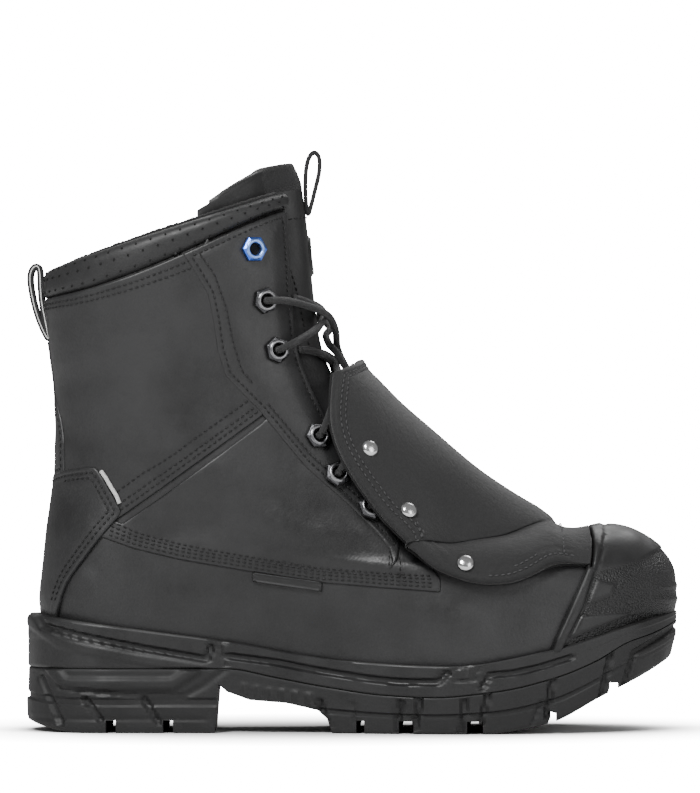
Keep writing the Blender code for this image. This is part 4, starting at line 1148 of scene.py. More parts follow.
COLLAR_THICKNESS = 0.0105
COLLAR_PROUD = 0.0016
COLLAR_RUN = 0.16  # metres along the collar for one of u
PINHOLE_ROWS = (0.55, 0.05, -0.48)  # angles round the collar
PINHOLE_PITCH = 0.0058
PINHOLE_RADIUS = 0.00052
TONGUE_GAP = 0.0014
TONGUE_THICKNESS = 0.0075
TONGUE_EDGE = 0.0030
TONGUE_OVERLAP = 0.011
TONGUE_RISE = 0.011
TONGUE_LEAN = 0.006
OVERLAY_GAP = 0.0005
TONGUE_FOOT = 7.9
TONGUE = (
    (7.4, 0.5, 0.0), (TONGUE_FOOT, 0.7, 0.0), (8.6, 1.0, 0.0), (9.2, 1.1, 0.0), (9.9, 1.2, 0.0), (10.6, 1.3, 0.0),
    (11.3, 1.5, 0.0), (12.0, 1.8, 0.0), (13.0, 2.3, 0.0), (13.7, 2.7, 0.0), (14.3, 3.2, 0.0),
    (15.0, 3.8, 0.2), (15.0, 3.8, 0.75), (15.0, 3.3, 1.0),
)


def wrinkles(along, across, seed, size=1.0):
    """Soft irregular folds over a padded roll, by the place along and across it."""
    chance = np.random.default_rng(seed)
    total = np.zeros(np.broadcast(along, across).shape)
    for _ in range(9):
        pitch = chance.uniform(0.010, 0.030) * size
        lean = chance.uniform(-0.9, 0.9)
        phase = chance.uniform(0, 2 * np.pi)
        total += np.sin(2 * np.pi * (along + lean * across) / pitch + phase) * chance.uniform(0.3, 1.0)
    return total / 4


def collar_place(angle, u, grow=0.0, fold=None):
    """Points of the padded collar's section, at angles round it."""
    seam = collar_seam(u)
    low, high = surface(u, seam), surface(u, np.full_like(u, float(TOP_LEVEL)))
    out = normal(u, seam)
    height = np.linalg.norm(high - low, axis=-1)[..., None]
    up = unit(high - low)
    middle = low + up * height / 2 - out * (COLLAR_THICKNESS / 2 - COLLAR_PROUD)
    across = np.sign(np.cos(angle)) * np.abs(np.cos(angle)) ** 0.8
    along = np.sign(np.sin(angle)) * np.abs(np.sin(angle)) ** 0.6
    thick = COLLAR_THICKNESS / 2 + grow
    if fold is not None:
        thick = thick + fold
    return middle + out * (across * thick)[..., None] + up * (along)[..., None] * (height / 2 + grow)


def make_collar():
    around, along = 56, 340
    angle = np.linspace(0, 2 * np.pi, around + 1)
    u = np.linspace(-1, 1, along + 1) * facing(float(TOP_LEVEL))
    angle, u = np.meshgrid(angle, u, indexing="ij")
    run = u * COLLAR_RUN
    outer = clamp(np.cos(angle), 0, 1)
    fold = 0.00028 * wrinkles(run, np.sin(angle) * 0.004, 5) * outer
    fold += 0.0010 * outer ** 2
    points = collar_place(angle.ravel(), u.ravel(), 0.0002, fold.ravel()).reshape(*u.shape, 3)
    flat = np.stack([run, angle * 0.004], axis=-1)
    mesh = grid_mesh("collar_roll", points, flat)
    settle(mesh, 1e-6)
    cap = bmesh.new()
    cap.from_mesh(mesh)
    rims = [edge for edge in cap.edges if edge.is_boundary]
    bmesh.ops.holes_fill(cap, edges=rims)
    bmesh.ops.recalc_face_normals(cap, faces=cap.faces)
    cap.to_mesh(mesh)
    cap.free()
    roll = object_of("collar_roll", mesh, soft_leather)
    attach(roll, "root")
    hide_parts("collar")

    # Pinholes in three rows, the middle one shifted by half a pitch: each is a flat near-black disc on the collar,
    # painted shade in place of a cut hole
    shape = bmesh.new()
    bmesh.ops.create_circle(shape, cap_ends=True, segments=8, radius=PINHOLE_RADIUS)
    disc = np.array([tuple(vert.co) for vert in shape.verts])
    faces = [[vert.index for vert in face.verts] for face in shape.faces]
    shape.free()
    points, every = [], []
    limit = facing(float(TOP_LEVEL)) - 0.02
    for number, turn in enumerate(PINHOLE_ROWS):
        shift = (number % 2) * PINHOLE_PITCH / (2 * COLLAR_RUN)
        at = np.arange(-limit + shift, limit, PINHOLE_PITCH / COLLAR_RUN)
        turns = np.full(len(at), turn)
        middle = collar_place(turns, at, 0.0002, 0.0010 * np.cos(turns) ** 2 + 0.00025)
        side = unit(collar_place(turns, at + 0.01) - collar_place(turns, at - 0.01))
        up = unit(collar_place(turns + 0.05, at) - collar_place(turns - 0.05, at))
        for spot, one, two in zip(middle, side, up):
            start = len(points) * len(disc)
            points.append(spot + disc[:, 0:1] * one + disc[:, 1:2] * two)
            every += [[index + start for index in face] for face in faces]
    mesh = bpy.data.meshes.new("pinhole_shade_discs")
    mesh.from_pydata(np.concatenate(points).tolist(), [], every)
    pinhole_shades = object_of("pinhole_shade_discs", mesh, painted_hole_shade)
    rim = pinhole_shades.modifiers.new("Depth", "SOLIDIFY")
    rim.thickness = 0.0006
    rim.offset = 0.0
    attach(pinhole_shades, "root")

    # Knit lining that shows along the top
    u = np.linspace(-1, 1, 420) * (facing(float(TOP_LEVEL)) - 0.01)
    turns = np.full_like(u, 1.75)
    middle = collar_place(turns, u, 0.0004)
    chance = np.random.default_rng(3)
    middle[:, 2] += chance.uniform(-0.0002, 0.0002, len(u))
    thick = 0.0011 + chance.uniform(-0.0001, 0.0002, len(u))
    mesh = tube_grid("knit_edge", middle, normal(u, collar_seam(u)), thick, 8)
    edge = object_of("knit_edge", mesh, knit)
    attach(edge, "root")


make_collar()


def tongue_place(across, row, depth_share, plump=0.0):
    """Points of the tongue: across from -1 to 1, row along TONGUE, and depth_share from its face (0) to its back."""
    table = np.array(TONGUE)
    number = np.arange(len(table), dtype=float)
    v = np.interp(row, number, table[:, 0])
    overlap = hermite(number, table[:, 1], row)
    rise = hermite(number, table[:, 2], row)
    opened = facing(np.maximum(v, TONGUE_FOOT))
    step = np.linalg.norm(surface(opened, v) - surface(opened - 0.01, v), axis=-1)
    edge = opened - 0.01 * overlap * TONGUE_OVERLAP / step
    u = wrap(1 + (1 - edge) * across)
    within = clamp((1 - np.abs(u)) / (1 - opened))
    pad = COLLAR_THICKNESS - COLLAR_PROUD + 2 * OVERLAY_GAP
    deep = WALL + TONGUE_GAP
    deep = between(deep, pad, ease((v - BELOW_COLLAR) / (COLLAR_FRONT - BELOW_COLLAR - 0.3)))
    depth = deep * np.maximum(ease((within - 0.35) / 0.5), 1 - ease((v - TONGUE_FOOT) / 0.6))
    thick = between(TONGUE_THICKNESS, TONGUE_EDGE, across * across)
    point = lifted(u, v, -depth - thick * depth_share + plump)
    point[..., 2] += rise * TONGUE_RISE * (1 - 0.5 * np.abs(across) ** 3)
    point[..., 0] -= rise * TONGUE_LEAN * (1 - np.abs(across))
    return point


def make_tongue():
    last = len(TONGUE) - 1
    turns = 96
    rows = 150
    # A section runs round the tongue: across its face, round its edge and back across its inner side.
    turn = np.linspace(0, 2 * np.pi, turns + 1)
    across = np.cos(turn)
    depth = (1 - np.sign(np.sin(turn)) * np.abs(np.sin(turn)) ** 0.35) / 2
    row = np.concatenate([np.linspace(0, last, rows), [last] * 3])
    shrink = np.concatenate([np.ones(rows), [0.93, 0.75, 0.45]])
    lift = np.concatenate([np.zeros(rows), [0.0008, 0.0014, 0.0017]])
    across, row_grid = np.meshgrid(across, row)
    depth, shrink_grid = np.meshgrid(depth, shrink)
    depth = 0.5 + (depth - 0.5) * shrink_grid
    upper_part = ease((row_grid - 9.5) / 3.0)
    fold = 0.00045 * wrinkles(across * 0.035, row_grid * 0.010, 11) * upper_part
    fold += 0.0012 * ease((row_grid - 10.6) / 1.5) * (1 - across ** 2)
    plump = fold * (depth < 0.5)
    points = tongue_place(across.ravel(), row_grid.ravel(), depth.ravel(), plump.ravel()).reshape(*across.shape, 3)
    points[..., 2] += lift[:, None]
    flat = np.stack([across * 0.035, row_grid * 0.013], axis=-1)
    mesh = grid_mesh("tongue_body", points, flat)
    knit_part = np.zeros(points.shape[:2])
    knit_part[row >= 10.9] = 1.0
    set_mask(mesh, "knit", knit_part)
    settle(mesh, 1e-6)
    cap = bmesh.new()
    cap.from_mesh(mesh)
    bmesh.ops.holes_fill(cap, edges=[edge for edge in cap.edges if edge.is_boundary])
    bmesh.ops.recalc_face_normals(cap, faces=cap.faces)
    mask = cap.verts.layers.float["knit"]
    for face in cap.faces:
        spread = [vert[mask] for vert in face.verts]
        place = face.calc_center_median()
        wing = abs(place.y) > 0.0225 and place.z > 0.2
        face.material_index = 1 if min(spread) > 0.5 and not wing else 0
    cap.to_mesh(mesh)
    cap.free()
    body = object_of("tongue_body", mesh, soft_leather, knit)
    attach(body, "root")
    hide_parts("tongue")


make_tongue()

BADGE_ACROSS = -0.06
BADGE_PROFILE = (  # radius and height, from the rim inwards
    (0.0098, -0.0006), (0.0096, 0.0004), (0.0090, 0.0006), (0.0087, 0.0013), (0.0083, 0.0013), (0.0080, 0.0006),
    (0.0060, 0.0007), (0.0030, 0.0008), (0.0001, 0.0009),
)
BADGE_AT = 255
PANEL_TOP = 216
PANEL_BOTTOM = 345
PANEL_REACH = 0.36  # share of the tongue's half width at which its seams run


def tongue_row(pixel_y, across=0.0):
    """The row of the tongue that the view shows at a height."""
    z = to_metres([(0, pixel_y)])[0, 1]
    one = np.ones(1)
    return halve(lambda at: tongue_place(one * across, at, one * 0)[..., 2] < z, one * 3.0, one * 12.9)[0]


def make_badge():
    """A bare round patch with a raised ring on the front of the tongue."""
    across, row = BADGE_ACROSS, tongue_row(BADGE_AT)
    top, bottom = tongue_row(PANEL_TOP), tongue_row(PANEL_BOTTOM)
    at = np.array([across, across + 0.01, across]), np.array([row, row, row + 0.01])
    centre, beside, above = tongue_place(*at, np.zeros(3))
    wide = 0.01 / np.linalg.norm(beside - centre)
    tall = 0.01 / np.linalg.norm(above - centre)
    out = unit(np.cross(above - centre, beside - centre))
    out = out if out[0] > 0 else -out
    turn = np.linspace(0, 2 * np.pi, 73)

    def ring(radius, height):
        placed = tongue_place(across + radius * wide * np.cos(turn), row + radius * tall * np.sin(turn), 0 * turn)
        return placed + out * height

    mesh = grid_mesh("badge", np.array([ring(radius, height) for radius, height in BADGE_PROFILE]))
    settle(mesh, 1e-6)
    patch = object_of("badge", mesh, rubber)
    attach(patch, "root")
    lines = []
    for side in (-1, 1):
        down = np.linspace(top, bottom, 90)
        placed = tongue_place(np.full(90, PANEL_REACH * side), down, np.zeros(90))
        lines.append((placed + out * 0.0003, np.tile(out, (90, 1))))
    over_top = np.linspace(-PANEL_REACH, PANEL_REACH, 30)
    lines.append((tongue_place(over_top, np.full(30, top), np.zeros(30)) + out * 0.0003, np.tile(out, (30, 1))))
    sewn = stitches("tongue_seams", lines, thread)
    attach(sewn, "root")


make_badge()

GUARD_THICKNESS = 0.0058
GUARD_END = 590
GUARD_NECK = 563
GUARD_LIFT = 0.0090
GUARD_HUG = (0.82, 0.45)  # lateral, medial
GUARD_HEIGHT = (
    (0.40, 1.30), (0.50, 1.24), (0.60, 1.10), (0.68, 0.98), (0.76, 0.75), (0.80, 0.48), (0.84, 0.22), (0.88, 0.08),
)
GUARD_EDGE = (
    (335, 372), (332, 398), (331, 423), (338, 452), (352, 481), (372, 514), (402, 546), (427, 566), (446, 574),
    (470, 582), (495, 583), (514, 580), (533, 572), (548, 563), (562, 560), (589, 563),
)


def guard_lift(u, v):
    x_share = surface(u, v)[..., 0] / LENGTH + 0.5
    beside = ease((0.95 - np.abs(u)) / 0.3) * ease((x_share - 0.57) / 0.09)
    hug = np.where(u > 0, GUARD_HUG[1], GUARD_HUG[0])
    return GUARD_LIFT * through(GUARD_HEIGHT, x_share) * (1 - hug * beside)


def guard_place(u, v, offset):
    return lifted(u, v, guard_lift(u, v) + offset)


def locate_guard(pixels, side, offset):
    """The u and v under the points of the guard that the view shows at the given places."""
    target = to_metres(pixels)
    u, v = np.full(len(target), 0.8 * side), np.full(len(target), 8.0)
    full = np.ones(len(target))
    for _ in range(9):
        v = halve(lambda at: guard_place(u, at, full * offset)[..., 2] < target[:, 1], full * 1.5, full * 14.0)
        u = side * halve(lambda at: guard_place(at * side, v, full * offset)[..., 0] < target[:, 0], full * 0.3, full)
    return np.stack([u, v], axis=-1)


def front_of_guard(pixel_x, offset, u):
    """The places at each u where the guard is as far forward as the view's column."""
    x = to_metres([(pixel_x, 0)])[0, 0]
    full = np.ones(len(u))
    v = halve(lambda at: guard_place(wrap(u), at, full * offset)[..., 0] > x, full * 2.0, full * 14.0)
    return np.stack([u, v], axis=-1)


def guard_thickness(points):
    """The guard thins towards the toe, where its end goes under the cap's crest."""
    return GUARD_THICKNESS * (1 - 0.55 * ease((points[..., 0] / LENGTH + 0.5 - 0.79) / 0.06))


def back_of_guard(pixel_y, offset):
    z = to_metres([(0, pixel_y)])[0, 1]
    one = np.ones(1)
    v = halve(lambda at: guard_place(one, at, one * offset)[..., 2] < z, one * 2.0, one * 14.0)
    return np.array([[1.0, v[0]]])


def guard_outline():
    middle = GUARD_THICKNESS / 2
    edge = locate_guard(resample(rounded(GUARD_EDGE, 1), 6.0), MEDIAL, middle)
    front = front_of_guard(GUARD_END, middle, np.linspace(edge[-1, 0], 1, 8)[1:])
    return mirrored_at_toe(np.concatenate([back_of_guard(360, middle), edge, front]))


def make_guard():
    outline = guard_outline()
    rows = (0.0036, 0.0062)
    row_end = to_metres([(GUARD_END, 0)])[0, 0] - 0.0080

    def top(points, distance, apart):
        puff = 0.0009 * ease((distance - 0.008) / 0.012)
        thick = guard_thickness(points)
        height = GUARD_THICKNESS / 2 + (thick - GUARD_THICKNESS / 2) * edge_profile(distance, 0.0019)
        height += puff * (thick > 0.005)
        sewn_part = ease((row_end - points[:, 0]) / 0.002)
        for row in rows:
            height -= 0.0005 * dip(distance - row, 0.0008) * sewn_part
        sway = np.sin(points[:, 0] * 75) * np.sin(points[:, 1] * 90 + points[:, 0] * 40)
        return height + 0.0005 * sway * ease(distance / 0.015)

    def bottom(points, distance, apart):
        return GUARD_THICKNESS / 2 - GUARD_THICKNESS / 2 * edge_profile(distance, 0.0014)

    rings = [0.0004, 0.0010, 0.0019]
    for row in rows:
        rings += [row - 0.0009, row, row + 0.0009]
    shell = lay_sheet("guard_shell", outline, top, bottom, nubuck, rings=rings, place=guard_place, step=1.9)
    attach(shell, "root")
    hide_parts("met_guard")
    lines = []
    for row in rows:
        for run in inset_line(outline, row, keep=lambda at: surface(wrap(at[:, 0]), at[:, 1])[:, 0] < row_end):
            u, v = wrap(run[:, 0]), run[:, 1]
            points = guard_place(u, v, guard_thickness(surface(u, v)) - 0.0001)
            lines.append((points, normal(u, v)))
    neck = front_of_guard(GUARD_NECK, GUARD_THICKNESS / 2, np.linspace(0.72, 1.28, 40))
    neck = neck[inside(neck * FLAT, outline * FLAT)]
    u, v = wrap(neck[:, 0]), neck[:, 1]
    lines.append((guard_place(u, v, guard_thickness(surface(u, v)) + 0.0005), normal(u, v)))
    sewn = stitches("guard_seams", lines, grey_thread, pitch=0.0030, size=0.0022, radius=0.00042)
    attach(sewn, "root")

    # Felt layer inside

    def felt_top(points, distance, apart):
        return 0.0004 * edge_profile(distance, 0.001)

    def felt_bottom(points, distance, apart):
        return -0.0017 * edge_profile(distance, 0.001)

    felt_sheet = lay_sheet(
        "guard_felt", outline, felt_top, felt_bottom, felt, rings=(0.0005, 0.001), place=guard_place, step=3.5,
    )
    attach(felt_sheet, "root")


make_guard()

# Toe cap

CAP_EDGE = ((592, 519), (592, 540), (586, 566), (581, 578), (559, 625), (547, 652), (540, 668))
CAP_BAND = ((608, 522), (606, 530), (600, 552), (592, 573), (580, 606), (566, 634), (552, 660))
CAP_CREST = ((592, 573), (619, 567), (637, 561), (659, 552), (680, 541))
CAP_PLATE = ((595, 581), (612, 585), (609, 594), (586, 603))
CAP_WEDGE = ((578, 615), (630, 612), (567, 636))
CAP_BASE = 0.0030
CAP_RAISED = 0.0039
CAP_TOE = 0.0038


def signed_from(points, outline):
    """Distance inside (plus) or outside (minus) a closed outline of the side view."""
    flat = points[:, [0, 2]]
    gap = distance_to(flat, np.concatenate([outline, outline[:1]]))
    return np.where(inside(flat, outline), gap, -gap)


def make_toe_cap():
    edge = side_line(CAP_EDGE[1:], MEDIAL, 1)
    start = front_at(592, np.linspace(1, edge[0, 0], 9)[:-1])
    half = np.concatenate([start, edge, [[edge[-1, 0] + 0.01, 0.35], [1.0, 0.35]]])
    outline = mirrored_at_toe(half)
    band = to_metres(CAP_BAND)
    crest = to_metres(CAP_CREST)
    plates = [to_metres(CAP_PLATE), to_metres(CAP_WEDGE)]

    def ahead_of(points, line):
        """How far a point lies ahead of a line of the side view that runs down the boot."""
        at = np.interp(-points[:, 2], -line[:, 1], line[:, 0])
        return points[:, 0] - at

    def stippled(points):
        crest_z = np.interp(points[:, 0], crest[:, 0], crest[:, 1])
        below = ease((crest_z - points[:, 2]) / 0.0012)
        plain = sum(ease((signed_from(points, plate) + 0.0004) / 0.0006) for plate in plates)
        return below * ease((ahead_of(points, band) - 0.0004) / 0.0012) * (1 - clamp(plain))

    def top(points, distance, apart):
        ahead = ahead_of(points, band)
        raised = 1 - ease(ahead / 0.0014 + 0.5)
        height = CAP_BASE + (CAP_RAISED - CAP_BASE) * raised
        height -= 0.0006 * dip(ahead - 0.0011, 0.0008)
        for plate in plates:
            height += 0.0011 * ease((signed_from(points, plate) + 0.0004) / 0.0008)
        crest_z = np.interp(points[:, 0], crest[:, 0], crest[:, 1])
        height -= 0.0009 * ease((crest_z - points[:, 2]) / 0.0014) * (1 - raised)
        front = ease((points[:, 0] - 0.140) / 0.01)
        for height_at in (0.058, 0.064, 0.070):
            height += 0.0006 * front * dip(points[:, 2] - height_at, 0.0012)
        height += CAP_TOE * ease((points[:, 0] - 0.139) / 0.014)
        return height * edge_profile(distance, 0.0012)

    def bottom(points, distance, apart):
        return UNDER * edge_profile(distance, 0.0012)

    lines = []
    for side in (MEDIAL, LATERAL):
        for pixels in (CAP_BAND[1:-1], CAP_CREST[:-1], CAP_PLATE + CAP_PLATE[:1], CAP_WEDGE + CAP_WEDGE[:1]):
            line = side_line(pixels, side)
            if side == LATERAL:
                line[:, 0] = 2 + line[:, 0]
            lines.append((line, 0.0007))
    cap = lay_sheet(
        "toe_cap_rubber", outline, top, bottom, toe_rubber, rings=(0.0004, 0.0012), lines=lines, step=1.3,
        masks=(("stipple", lambda points, distance, apart: stippled(points)),),
    )
    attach(cap, "root")
    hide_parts("toe_cap")


make_toe_cap()

# Small parts

EYELETS = ((0.346, 0.872), (0.363, 0.767), (0.381, 0.665), (0.444, 0.487), (0.474, 0.409), (0.524, 0.340))
RIVETS = ((0.517, 0.454), (0.578, 0.325), (0.672, 0.237))
EYELET_SEAT = 0.0014 + 0.0018 + 0.0006
EYELET_HEIGHT = 0.0024
EYELET_RADIUS = 0.0066
LACE_RADIUS = 0.0018


def turned(name, profile, segments):
    """A shape of revolution about Z from radii and heights; six segments give a hexagon."""
    shape = bmesh.new()
    verts = [shape.verts.new((radius, 0, height)) for radius, height in profile]
    edges = [shape.edges.new(pair) for pair in zip(verts, verts[1:])]
    bmesh.ops.spin(
        shape, geom=verts + edges, cent=(0, 0, 0), axis=(0, 0, 1), angle=2 * math.pi, steps=segments, use_merge=True,
    )
    bmesh.ops.remove_doubles(shape, verts=shape.verts, dist=1e-7)
    bmesh.ops.recalc_face_normals(shape, faces=shape.faces)
    mesh = bpy.data.meshes.new(name)
    shape.to_mesh(mesh)
    shape.free()
    return mesh


def stand(mesh, u, v, offset, spin=0.0):
    """Moves a mesh so that its own Z points out of the last at u and v."""
    out = normal(np.array([u]), np.array([v]))[0]
    base = surface(np.array([u]), np.array([v]))[0] + out * offset
    turn = Vector(out).to_track_quat("Z", "Y").to_matrix().to_4x4()
    mesh.transform(Matrix.Translation(Vector(base)) @ turn @ Matrix.Rotation(spin, 4, "Z"))


def make_eyelet(name, u, v, rim, face, spin):
    low = EYELET_SEAT - 0.0007
    outer = ((0.99, 0.0), (1.0, 0.0016), (0.97, 0.0021), (0.80, 0.0029), (0.74, 0.0029))
    outer = [(EYELET_RADIUS * share, height) for share, height in outer]
    shape = bmesh.new()
    shape.from_mesh(turned(name, outer, 6))
    top = [edge for edge in shape.edges if edge.is_boundary and edge.verts[0].co.z > 0.002]
    inner = bmesh.ops.extrude_edge_only(shape, edges=top)
    verts = [item for item in inner["geom"] if isinstance(item, bmesh.types.BMVert)]
    for vert in verts:
        vert.co.xy *= 0.86
        vert.co.z -= 0.0005
    mesh = bpy.data.meshes.new(name)
    bmesh.ops.recalc_face_normals(shape, faces=shape.faces)
    shape.to_mesh(mesh)
    shape.free()
    stand(mesh, u, v, low, spin)
    nut = object_of(name + "_rim", mesh, rim, angle=25)
    solid = nut.modifiers.new("Wall", "SOLIDIFY")
    solid.thickness = 0.0005
    bevel = nut.modifiers.new("Edges", "BEVEL")
    bevel.width = 0.00022
    bevel.segments = 2
    bevel.limit_method = "ANGLE"
    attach(nut, "root")
    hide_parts(name)
    ring_profile = (
        (0.0052, 0.0022), (0.0050, 0.0028), (0.0045, 0.0033), (0.0039, 0.0034), (0.0033, 0.0031), (0.0030, 0.0023),
        (0.0029, 0.0004),
    )
    mesh = turned(name + "_ring", ring_profile, 40)
    stand(mesh, u, v, low, spin)
    ring = object_of(name + "_ring", mesh, face)
    solid = ring.modifiers.new("Wall", "SOLIDIFY")
    solid.thickness = 0.0003
    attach(ring, "root")
    # A flat near-black disc in the eyelet's mouth is painted shade for the inside of the hole.
    mesh = turned(name + "_hole", ((0.0, 0.0004), (0.0031, 0.0004)), 24)
    stand(mesh, u, v, low, spin)
    hole = object_of(name + "_hole", mesh, painted_hole_shade)
    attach(hole, "root")


GAP = 0.0003
RIVET_DOME = (
    (0.0041, -0.0004), (0.0042, 0.0003), (0.0040, 0.0007), (0.0035, 0.0013), (0.0027, 0.0018), (0.0017, 0.0021),
    (0.0007, 0.0022), (0.0, 0.00222),
)
EYELET_TURN = 0.35  # each nut is turned a little further than the last


def make_hardware():
    places = {}
    for side, side_name in SIDES:
        u, v = locate(EYELETS, side)
        places[side] = list(zip(u, v))
        for number in range(len(EYELETS)):
            name = f"eyelet_{side_name}_{number + 1}"
            blue = number == 0
            make_eyelet(
                name, u[number], v[number], blue_metal if blue else gunmetal, blue_face if blue else pale_metal,
                EYELET_TURN * number,
            )
        for number, place in enumerate(RIVETS):
            target = np.array([place])
            x, z = in_side_view(target[:, 0], target[:, 1])
            one = np.ones(1)
            lift = one * GUARD_LIFT
            u, v = 0.7 * side * one, 8.0 * one
            for _ in range(9):
                v = halve(lambda at: lifted(u, at, lift)[..., 2] < z, one * 0.0, one * 15.0)
                u = side * halve(lambda at: lifted(at * side, v, lift)[..., 0] < x, one * 0.02, one * 0.99)
            height = guard_lift(u, v)[0] + GUARD_THICKNESS + 0.0001
            name = f"rivet_{side_name}_{number + 1}"
            mesh = turned(name + "_dome", RIVET_DOME, 36)
            stand(mesh, u[0], v[0], height)
            dome = object_of(name + "_dome", mesh, chrome)
            solid = dome.modifiers.new("Wall", "SOLIDIFY")
            solid.thickness = 0.0003
            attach(dome, "root")
            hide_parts(name)
    return places


blue_face = metal("blue_face", (0.20, 0.36, 0.86), (0.30, 0.48, 0.95), 0.25, 0.38, 0.3)
pale_metal = metal("pale_metal", (0.20, 0.20, 0.21), (0.34, 0.34, 0.35), 0.25, 0.40)
eyelet_places = make_hardware()

# Laces

EYELET_TOP = EYELET_SEAT + EYELET_HEIGHT
LACE_OVER_TONGUE = LACE_RADIUS + 4 * GAP
LACE_OVER_EYELET = EYELET_TOP + 3 * GAP + LACE_RADIUS
STRAND_RISE = (0.1, 0.5, 1.0, 1.1)
LACE_OUT = (0.7, 0.0, 0.7)  # away from the shin


def braided(name, middle):
    """A round lace along points, with a braided cover."""
    mesh = tube_grid(name, middle, np.tile(LACE_OUT, (len(middle), 1)), LACE_RADIUS, 20)
    return object_of(name, mesh, lace_cover)


def from_hole(u, v):
    """Points of a lace that comes up through an eyelet and bends towards its way."""
    heights = np.array((0.0006, 0.0022, 0.0038))
    return lifted(np.full(3, u), np.full(3, v), EYELET_SEAT - 0.001 + heights)


def strand_points(side, start, end, rise, steps=26):
    under = facing(end[1]) + 0.004
    share = np.linspace(0, 1, steps)
    u = wrap(between(abs(start[0]), 2 - under, share))
    near = between(LACE_OVER_TONGUE, LACE_OVER_EYELET, clamp(1 - 2 * share) ** 0.8)
    far = between(LACE_OVER_TONGUE, LACE_OVER_TONGUE / 2, clamp(2 * share - 1))
    height = np.where(share < 0.5, near, far)
    v = between(start[1], end[1], share) + rise * (1 - (2 * share - 1) ** 2)
    points = lifted(side * u, v, height)
    first = from_hole(start[0], start[1])
    keep = share > 0.06
    joined = np.concatenate([first, points[keep]])
    return smooth_curve(joined, 0.0011)


def make_laces():
    for number in range(1, len(EYELETS) - 1):
        for side, side_name in SIDES:
            name = f"lace_{number}_{side_name}"
            start, end = eyelet_places[side][number + 1], eyelet_places[-side][number]
            lift = 0.0012 if side == LATERAL else -0.0006
            points = strand_points(side, start, end, STRAND_RISE[number - 1])
            bump = np.sin(np.linspace(0, np.pi, len(points)))[:, None] * np.array(LACE_OUT) * lift
            points = points + bump
            lace = braided(name, points)
            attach(lace, "root")
            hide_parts(f"lace_crossing_{number}")
    low = eyelet_places[MEDIAL][-1][1]
    edge = facing(low) + 0.01
    share = np.linspace(0, 1, 40)
    points = lifted(
        wrap(between(edge, 2 - edge, share)), low + STRAND_RISE[-1] * (1 - (2 * share - 1) ** 2),
        np.full(40, LACE_OVER_TONGUE),
    )
    bar = braided("lace_bottom", points)
    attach(bar, "root")
    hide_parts("lace_bar")


make_laces()

LACE_END_LATERAL = (
    (-0.0398, -0.0455, 0.2090), (-0.0343, -0.0433, 0.2092), (-0.0286, -0.0393, 0.2085), (-0.0228, -0.0341, 0.2070),
    (-0.0178, -0.0280, 0.2054), (-0.0137, -0.0210, 0.2036), (-0.0106, -0.0130, 0.2010), (-0.0088, -0.0052, 0.1974),
    (-0.0077, 0.0010, 0.1930), (-0.0075, 0.0048, 0.1885), (-0.0062, 0.0060, 0.1838), (-0.0040, 0.0056, 0.1790),
    (-0.0012, 0.0051, 0.1745), (0.0016, 0.0048, 0.1704),
)
LACE_END_MEDIAL = (
    (-0.0398, 0.0431, 0.2090), (-0.0343, 0.0410, 0.2080), (-0.0284, 0.0372, 0.2058), (-0.0222, 0.0325, 0.2034),
    (-0.0166, 0.0271, 0.2012), (-0.0126, 0.0200, 0.1988), (-0.0108, 0.0116, 0.1960), (-0.0128, 0.0038, 0.1925),
    (-0.0115, -0.0022, 0.1888), (-0.0078, -0.0057, 0.1845), (-0.0048, -0.0072, 0.1798), (-0.0018, -0.0074, 0.1752),
    (0.0012, -0.0072, 0.1712),
)


def make_lace_end(name, route, side):
    """A free end of the lace, from the second eyelet over the tongue."""
    u, v = eyelet_places[side][1]
    hole = from_hole(u, v)[:2]
    points = smooth_curve(np.array(route), 0.0012)
    cord = braided(name, points)
    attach(cord, "root")
    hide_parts("lace_end_" + ("lateral" if side == LATERAL else "medial"))
    start = smooth_curve(np.concatenate([hole, points[:1], points[1:2]]), 0.0008)
    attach(braided(name + "_root", start), "root")


make_lace_end("lace_tail_lateral", LACE_END_LATERAL, LATERAL)
make_lace_end("lace_tail_medial", LACE_END_MEDIAL, MEDIAL)

# Webbing loops, piping and tag

HEEL_LOOP = (
    (0.0358, 0.683), (0.0229, 0.714), (0.0130, 0.753), (0.0069, 0.790), (0.0046, 0.820), (0.0091, 0.837),
    (0.0168, 0.842), (0.0206, 0.831), (0.0213, 0.790), (0.0236, 0.761), (0.0297, 0.720),
)
TONGUE_LOOP = (
    (0.4315, 0.940), (0.4285, 0.980), (0.4280, 1.019), (0.4300, 1.052), (0.4360, 1.072), (0.4440, 1.077),
    (0.4505, 1.064), (0.4500, 1.035), (0.4440, 1.003), (0.4380, 0.970),
)


